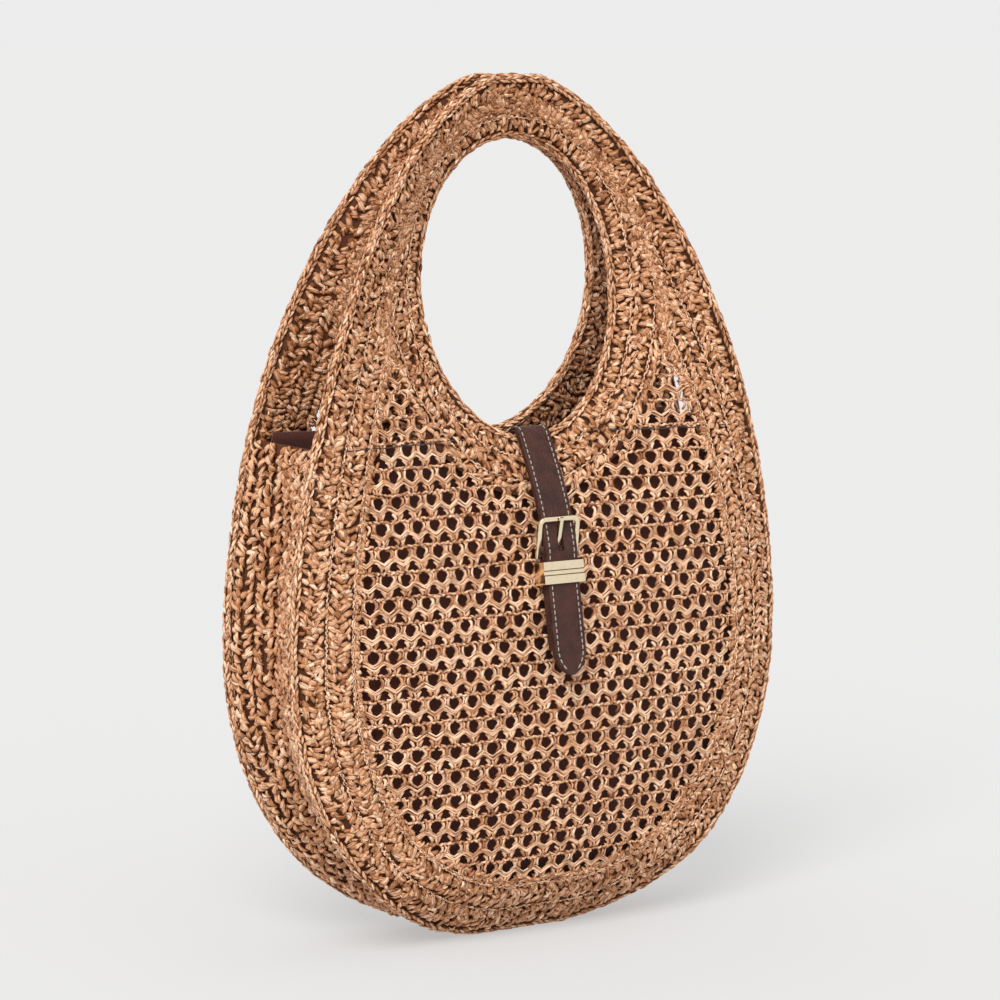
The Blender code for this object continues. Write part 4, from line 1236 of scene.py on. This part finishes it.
def strap_layers(name, line, widths, missing=()):
    """Two plies of leather with their glued line between."""
    half = STRAP_THICKNESS / 2
    middle, ply_half = half / 2 + GLUE_HALF, half / 2 - GLUE_HALF
    return join(name, [
        ply("outer_ply", line, middle, ply_half, widths, HIDE, STRAP_COLUMNS, missing),
        ply("inner_ply", line, -middle, ply_half, widths, HIDE, STRAP_COLUMNS, missing),
        ply("glue_line", line, 0.0, 0.00028, np.asarray(widths) - 0.00022, EDGE_PAINT_AND_SHADE, STRAP_COLUMNS,
            missing, 0.0),
    ])


def strap_seams(name, line, x, first, last):
    """Pale stitches along both edges of a strap and on both its faces."""
    stitches = Heap()
    for side in (-1, 1):
        for level in (-1, 1):
            thread(stitches, line, side * x, level * STRAP_THICKNESS / 2, first, last)
    return stitches.build(name, WHITE_THREAD)


def closure_strap():
    wide = STRAP_WIDTH / 2
    rear, front = rear_hinge(), front_hinge()
    low = REAR_HINGE_Z - ANCHOR_LENGTH
    down = np.linspace(low, REAR_HINGE_Z - 0.006, 40)
    anchor = np.stack([-np.array([depth(z) for z in down]) - strap_inset(), down], axis=1)
    ahead = (front - rear) / np.linalg.norm(front - rear)
    bridge = rear + ahead * 0.006
    middle = (rear + front) / 2
    leave = (anchor[-1] - anchor[-2]) / np.linalg.norm(anchor[-1] - anchor[-2])
    bend = hermite(anchor[-1], bridge, leave * 0.011, ahead * 0.011, 16)
    run = bridge + np.linspace(0, 1, 8)[:, None] * (middle - ahead * 0.00005 - bridge)
    line = np.concatenate([anchor, bend[1:], run[1:]])
    even_line = resample(line, np.linspace(0, along_of(line)[-1], 34))
    back = strap_layers("strap_rear", even_line, np.full(34, wide))
    total = along_of(even_line)[-1]
    back_thread = strap_seams("strap_rear_stitches", even_line, wide - SEAM_INSET, 0.002, total)

    over = hermite(front - ahead * 0.007, front, ahead * 0.007, np.array([-0.007, 0.0]), 10)
    run = middle + np.linspace(0, 1, 6)[:, None] * (front - ahead * 0.007 - middle)
    line = np.concatenate([run[:-1], over[:-1], front_line()])
    along = along_of(line)
    up = (line - TAIL.at(BAR_Z, 0.0)) @ TAIL.up
    past = along > along[np.argmin(np.linalg.norm(line - front, axis=1))]

    def where(height):
        return np.interp(-height, -up[past], along[past])

    low_end = where((line[-1] - TAIL.at(BAR_Z, 0.0)) @ TAIL.up)
    slot = [where(PRONG_SLOT[1]), where(PRONG_SLOT[0])]
    tip = low_end - TIP_LENGTH * (1 - np.linspace(0, 1, 12))
    stations = np.concatenate([
        np.linspace(0, slot[0], 44), np.linspace(slot[0], slot[1], 8)[1:],
        np.linspace(slot[1], tip[0], 16)[1:-1], tip,
    ])
    line = resample(line, stations)
    widths = np.full(len(line), wide)
    t = np.linspace(0, 1, 12)
    widths[-12:] = np.maximum(wide * (1 - t**1.9) ** 0.62, wide * 0.10)
    piece = strap_layers("strap_front", line, widths, [(i, 2) for i in range(43, 50)])
    margin = np.maximum(widths - SEAM_INSET, 0.0)
    total = along_of(line)[-1] - 0.0028
    front_thread = strap_seams("strap_front_stitches", line, margin, 0.0, total)
    return (back, back_thread), (piece, front_thread)


def chape():
    bar = BAR_RADIUS + BAR_CLEARANCE + LEATHER / 2
    apart = (LEATHER + GAP) / 2
    tip = float((TAIL.at(CHAPE_TIP_Z, 0.0) - TAIL.at(BAR_Z, 0.0)) @ TAIL.up)
    turn = np.radians(np.linspace(0, 180, 13))
    side = [(tip, apart), (-0.03, apart), (-0.015, apart), (-CHAPE_NECK, apart),
            (-CHAPE_NECK / 2, (apart + bar) / 2)]
    way = side + [(bar * np.sin(t), bar * np.cos(t)) for t in turn]
    way += [(u, -v) for u, v in reversed(side)]
    line = np.array([TAIL.at(BAR_Z, BAR_LEVEL + v, u) for u, v in way])
    slot = CHAPE_SLOT / STRAP_WIDTH
    count = len(way)
    return ply(
        "chape_leather", line, 0.0, LEATHER / 2, np.full(count, STRAP_WIDTH / 2), HIDE,
        (-1.0, -0.6, -slot, slot, 0.6, 1.0), [(i, 2) for i in range(3, count - 4)], 0.00025,
    )


def keeper_groove_shade():
    """Painted shade: dark strips along both sides of the groove in the keeper, standing in for the
    shadow lines of its bars.
    """
    middle = -CHAPE_NECK - GAP - KEEPER_HEIGHT / 2
    level = BAR_LEVEL + GAP * 1.5 + LEATHER + STRAP_THICKNESS + KEEPER_GAP + KEEPER_BAR
    made = []
    for number, hand in enumerate((1, -1)):
        grids = []
        for lift in (0.00008, -0.00006):
            ends = [TAIL.at(BAR_Z, level + lift, middle + hand * v) for v in (0.0010, 0.00145)]
            grids.append(np.array([
                [(x, MIDDLE_Y + y, z) for y, z in ends]
                for x in (-KEEPER_WIDTH / 2, KEEPER_WIDTH / 2)
            ]))
        made.append(slab("keeper_line_%d" % number, grids[0], grids[1], EDGE_PAINT_AND_SHADE))
    return made


def leather_square(name, z, half, level, face):
    reach = np.linspace(-1, 1, 15)
    trim = np.minimum(1.0, 1.12 - 0.12 * np.abs(reach) ** 8)
    x = half * reach[None, :] * trim[:, None]
    high = z + half * reach[:, None] * trim[None, :]
    outer, _ = on_panel(x, high, level + LEATHER * 0.45, face)
    inner, _ = on_panel(x, high, level - LEATHER * 0.45, face)
    return slab(name, outer, inner, HIDE)


def take(pieces, body, slot_name, *nodes):
    """Pieces that ride on one body; the given CAD nodes are hidden."""
    for piece in pieces:
        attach(piece, body)
    if nodes:
        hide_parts(*nodes)


for side_name, face in (("front", -1), ("rear", 1)):
    take(border(side_name, face), "bag", "raffia_crochet", side_name + "_border_band")
    take(ring(side_name, face), "bag", "raffia_crochet", side_name + "_handle_ring")
    take(openwork(side_name, face), "bag", "raffia_openwork", side_name + "_mesh_field")
    take(edge_cord(side_name, face), "bag", "raffia_cord", side_name + "_edge_cord")
    take(rim_cord(side_name, face), "bag", "raffia_cord", side_name + "_rim_cord")
    take([sewn_line(side_name, face)], "bag", "lining_twill")
    take(lining_face(side_name, face), "bag", "lining_twill", "lining_" + side_name)

take(gusset(), "bag", "raffia_crochet", "gusset")
take([lining_side()], "bag", "lining_twill", "lining_gusset")
take([slip_pocket()], "bag", "lining_twill", "lining_pocket")

rear_pieces, front_pieces = closure_strap()
for piece in rear_pieces:
    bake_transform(piece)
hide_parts("strap_anchor", "strap_bridge")
for piece in front_pieces:
    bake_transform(piece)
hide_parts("strap_flap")
take([chape()], "strap_flap", "strap_leather", "buckle_chape")
take(keeper_groove_shade(), "strap_flap", "strap_leather")
take(
    [leather_square(
        "anchor_patch_leather", REAR_HINGE_Z - ANCHOR_LENGTH / 2, PATCH_HALF, -0.0034, 1
    )],
    "bag", "strap_leather", "strap_anchor_patch",
)
take(
    [leather_square("snap_patch_leather", SNAP_Z, PATCH_HALF, -0.0039, -1)],
    "bag", "strap_leather", "snap_patch",
)

for name, made in frame["nodes"].items():
    slot = next(s["material_slot"] for s in frame["record"]["subparts"] if s["node"] == name)
    look = {"gold_metal": GOLD, "nickel_steel": NICKEL}.get(slot)
    if look:
        for material_slot in made.material_slots:
            material_slot.material = look
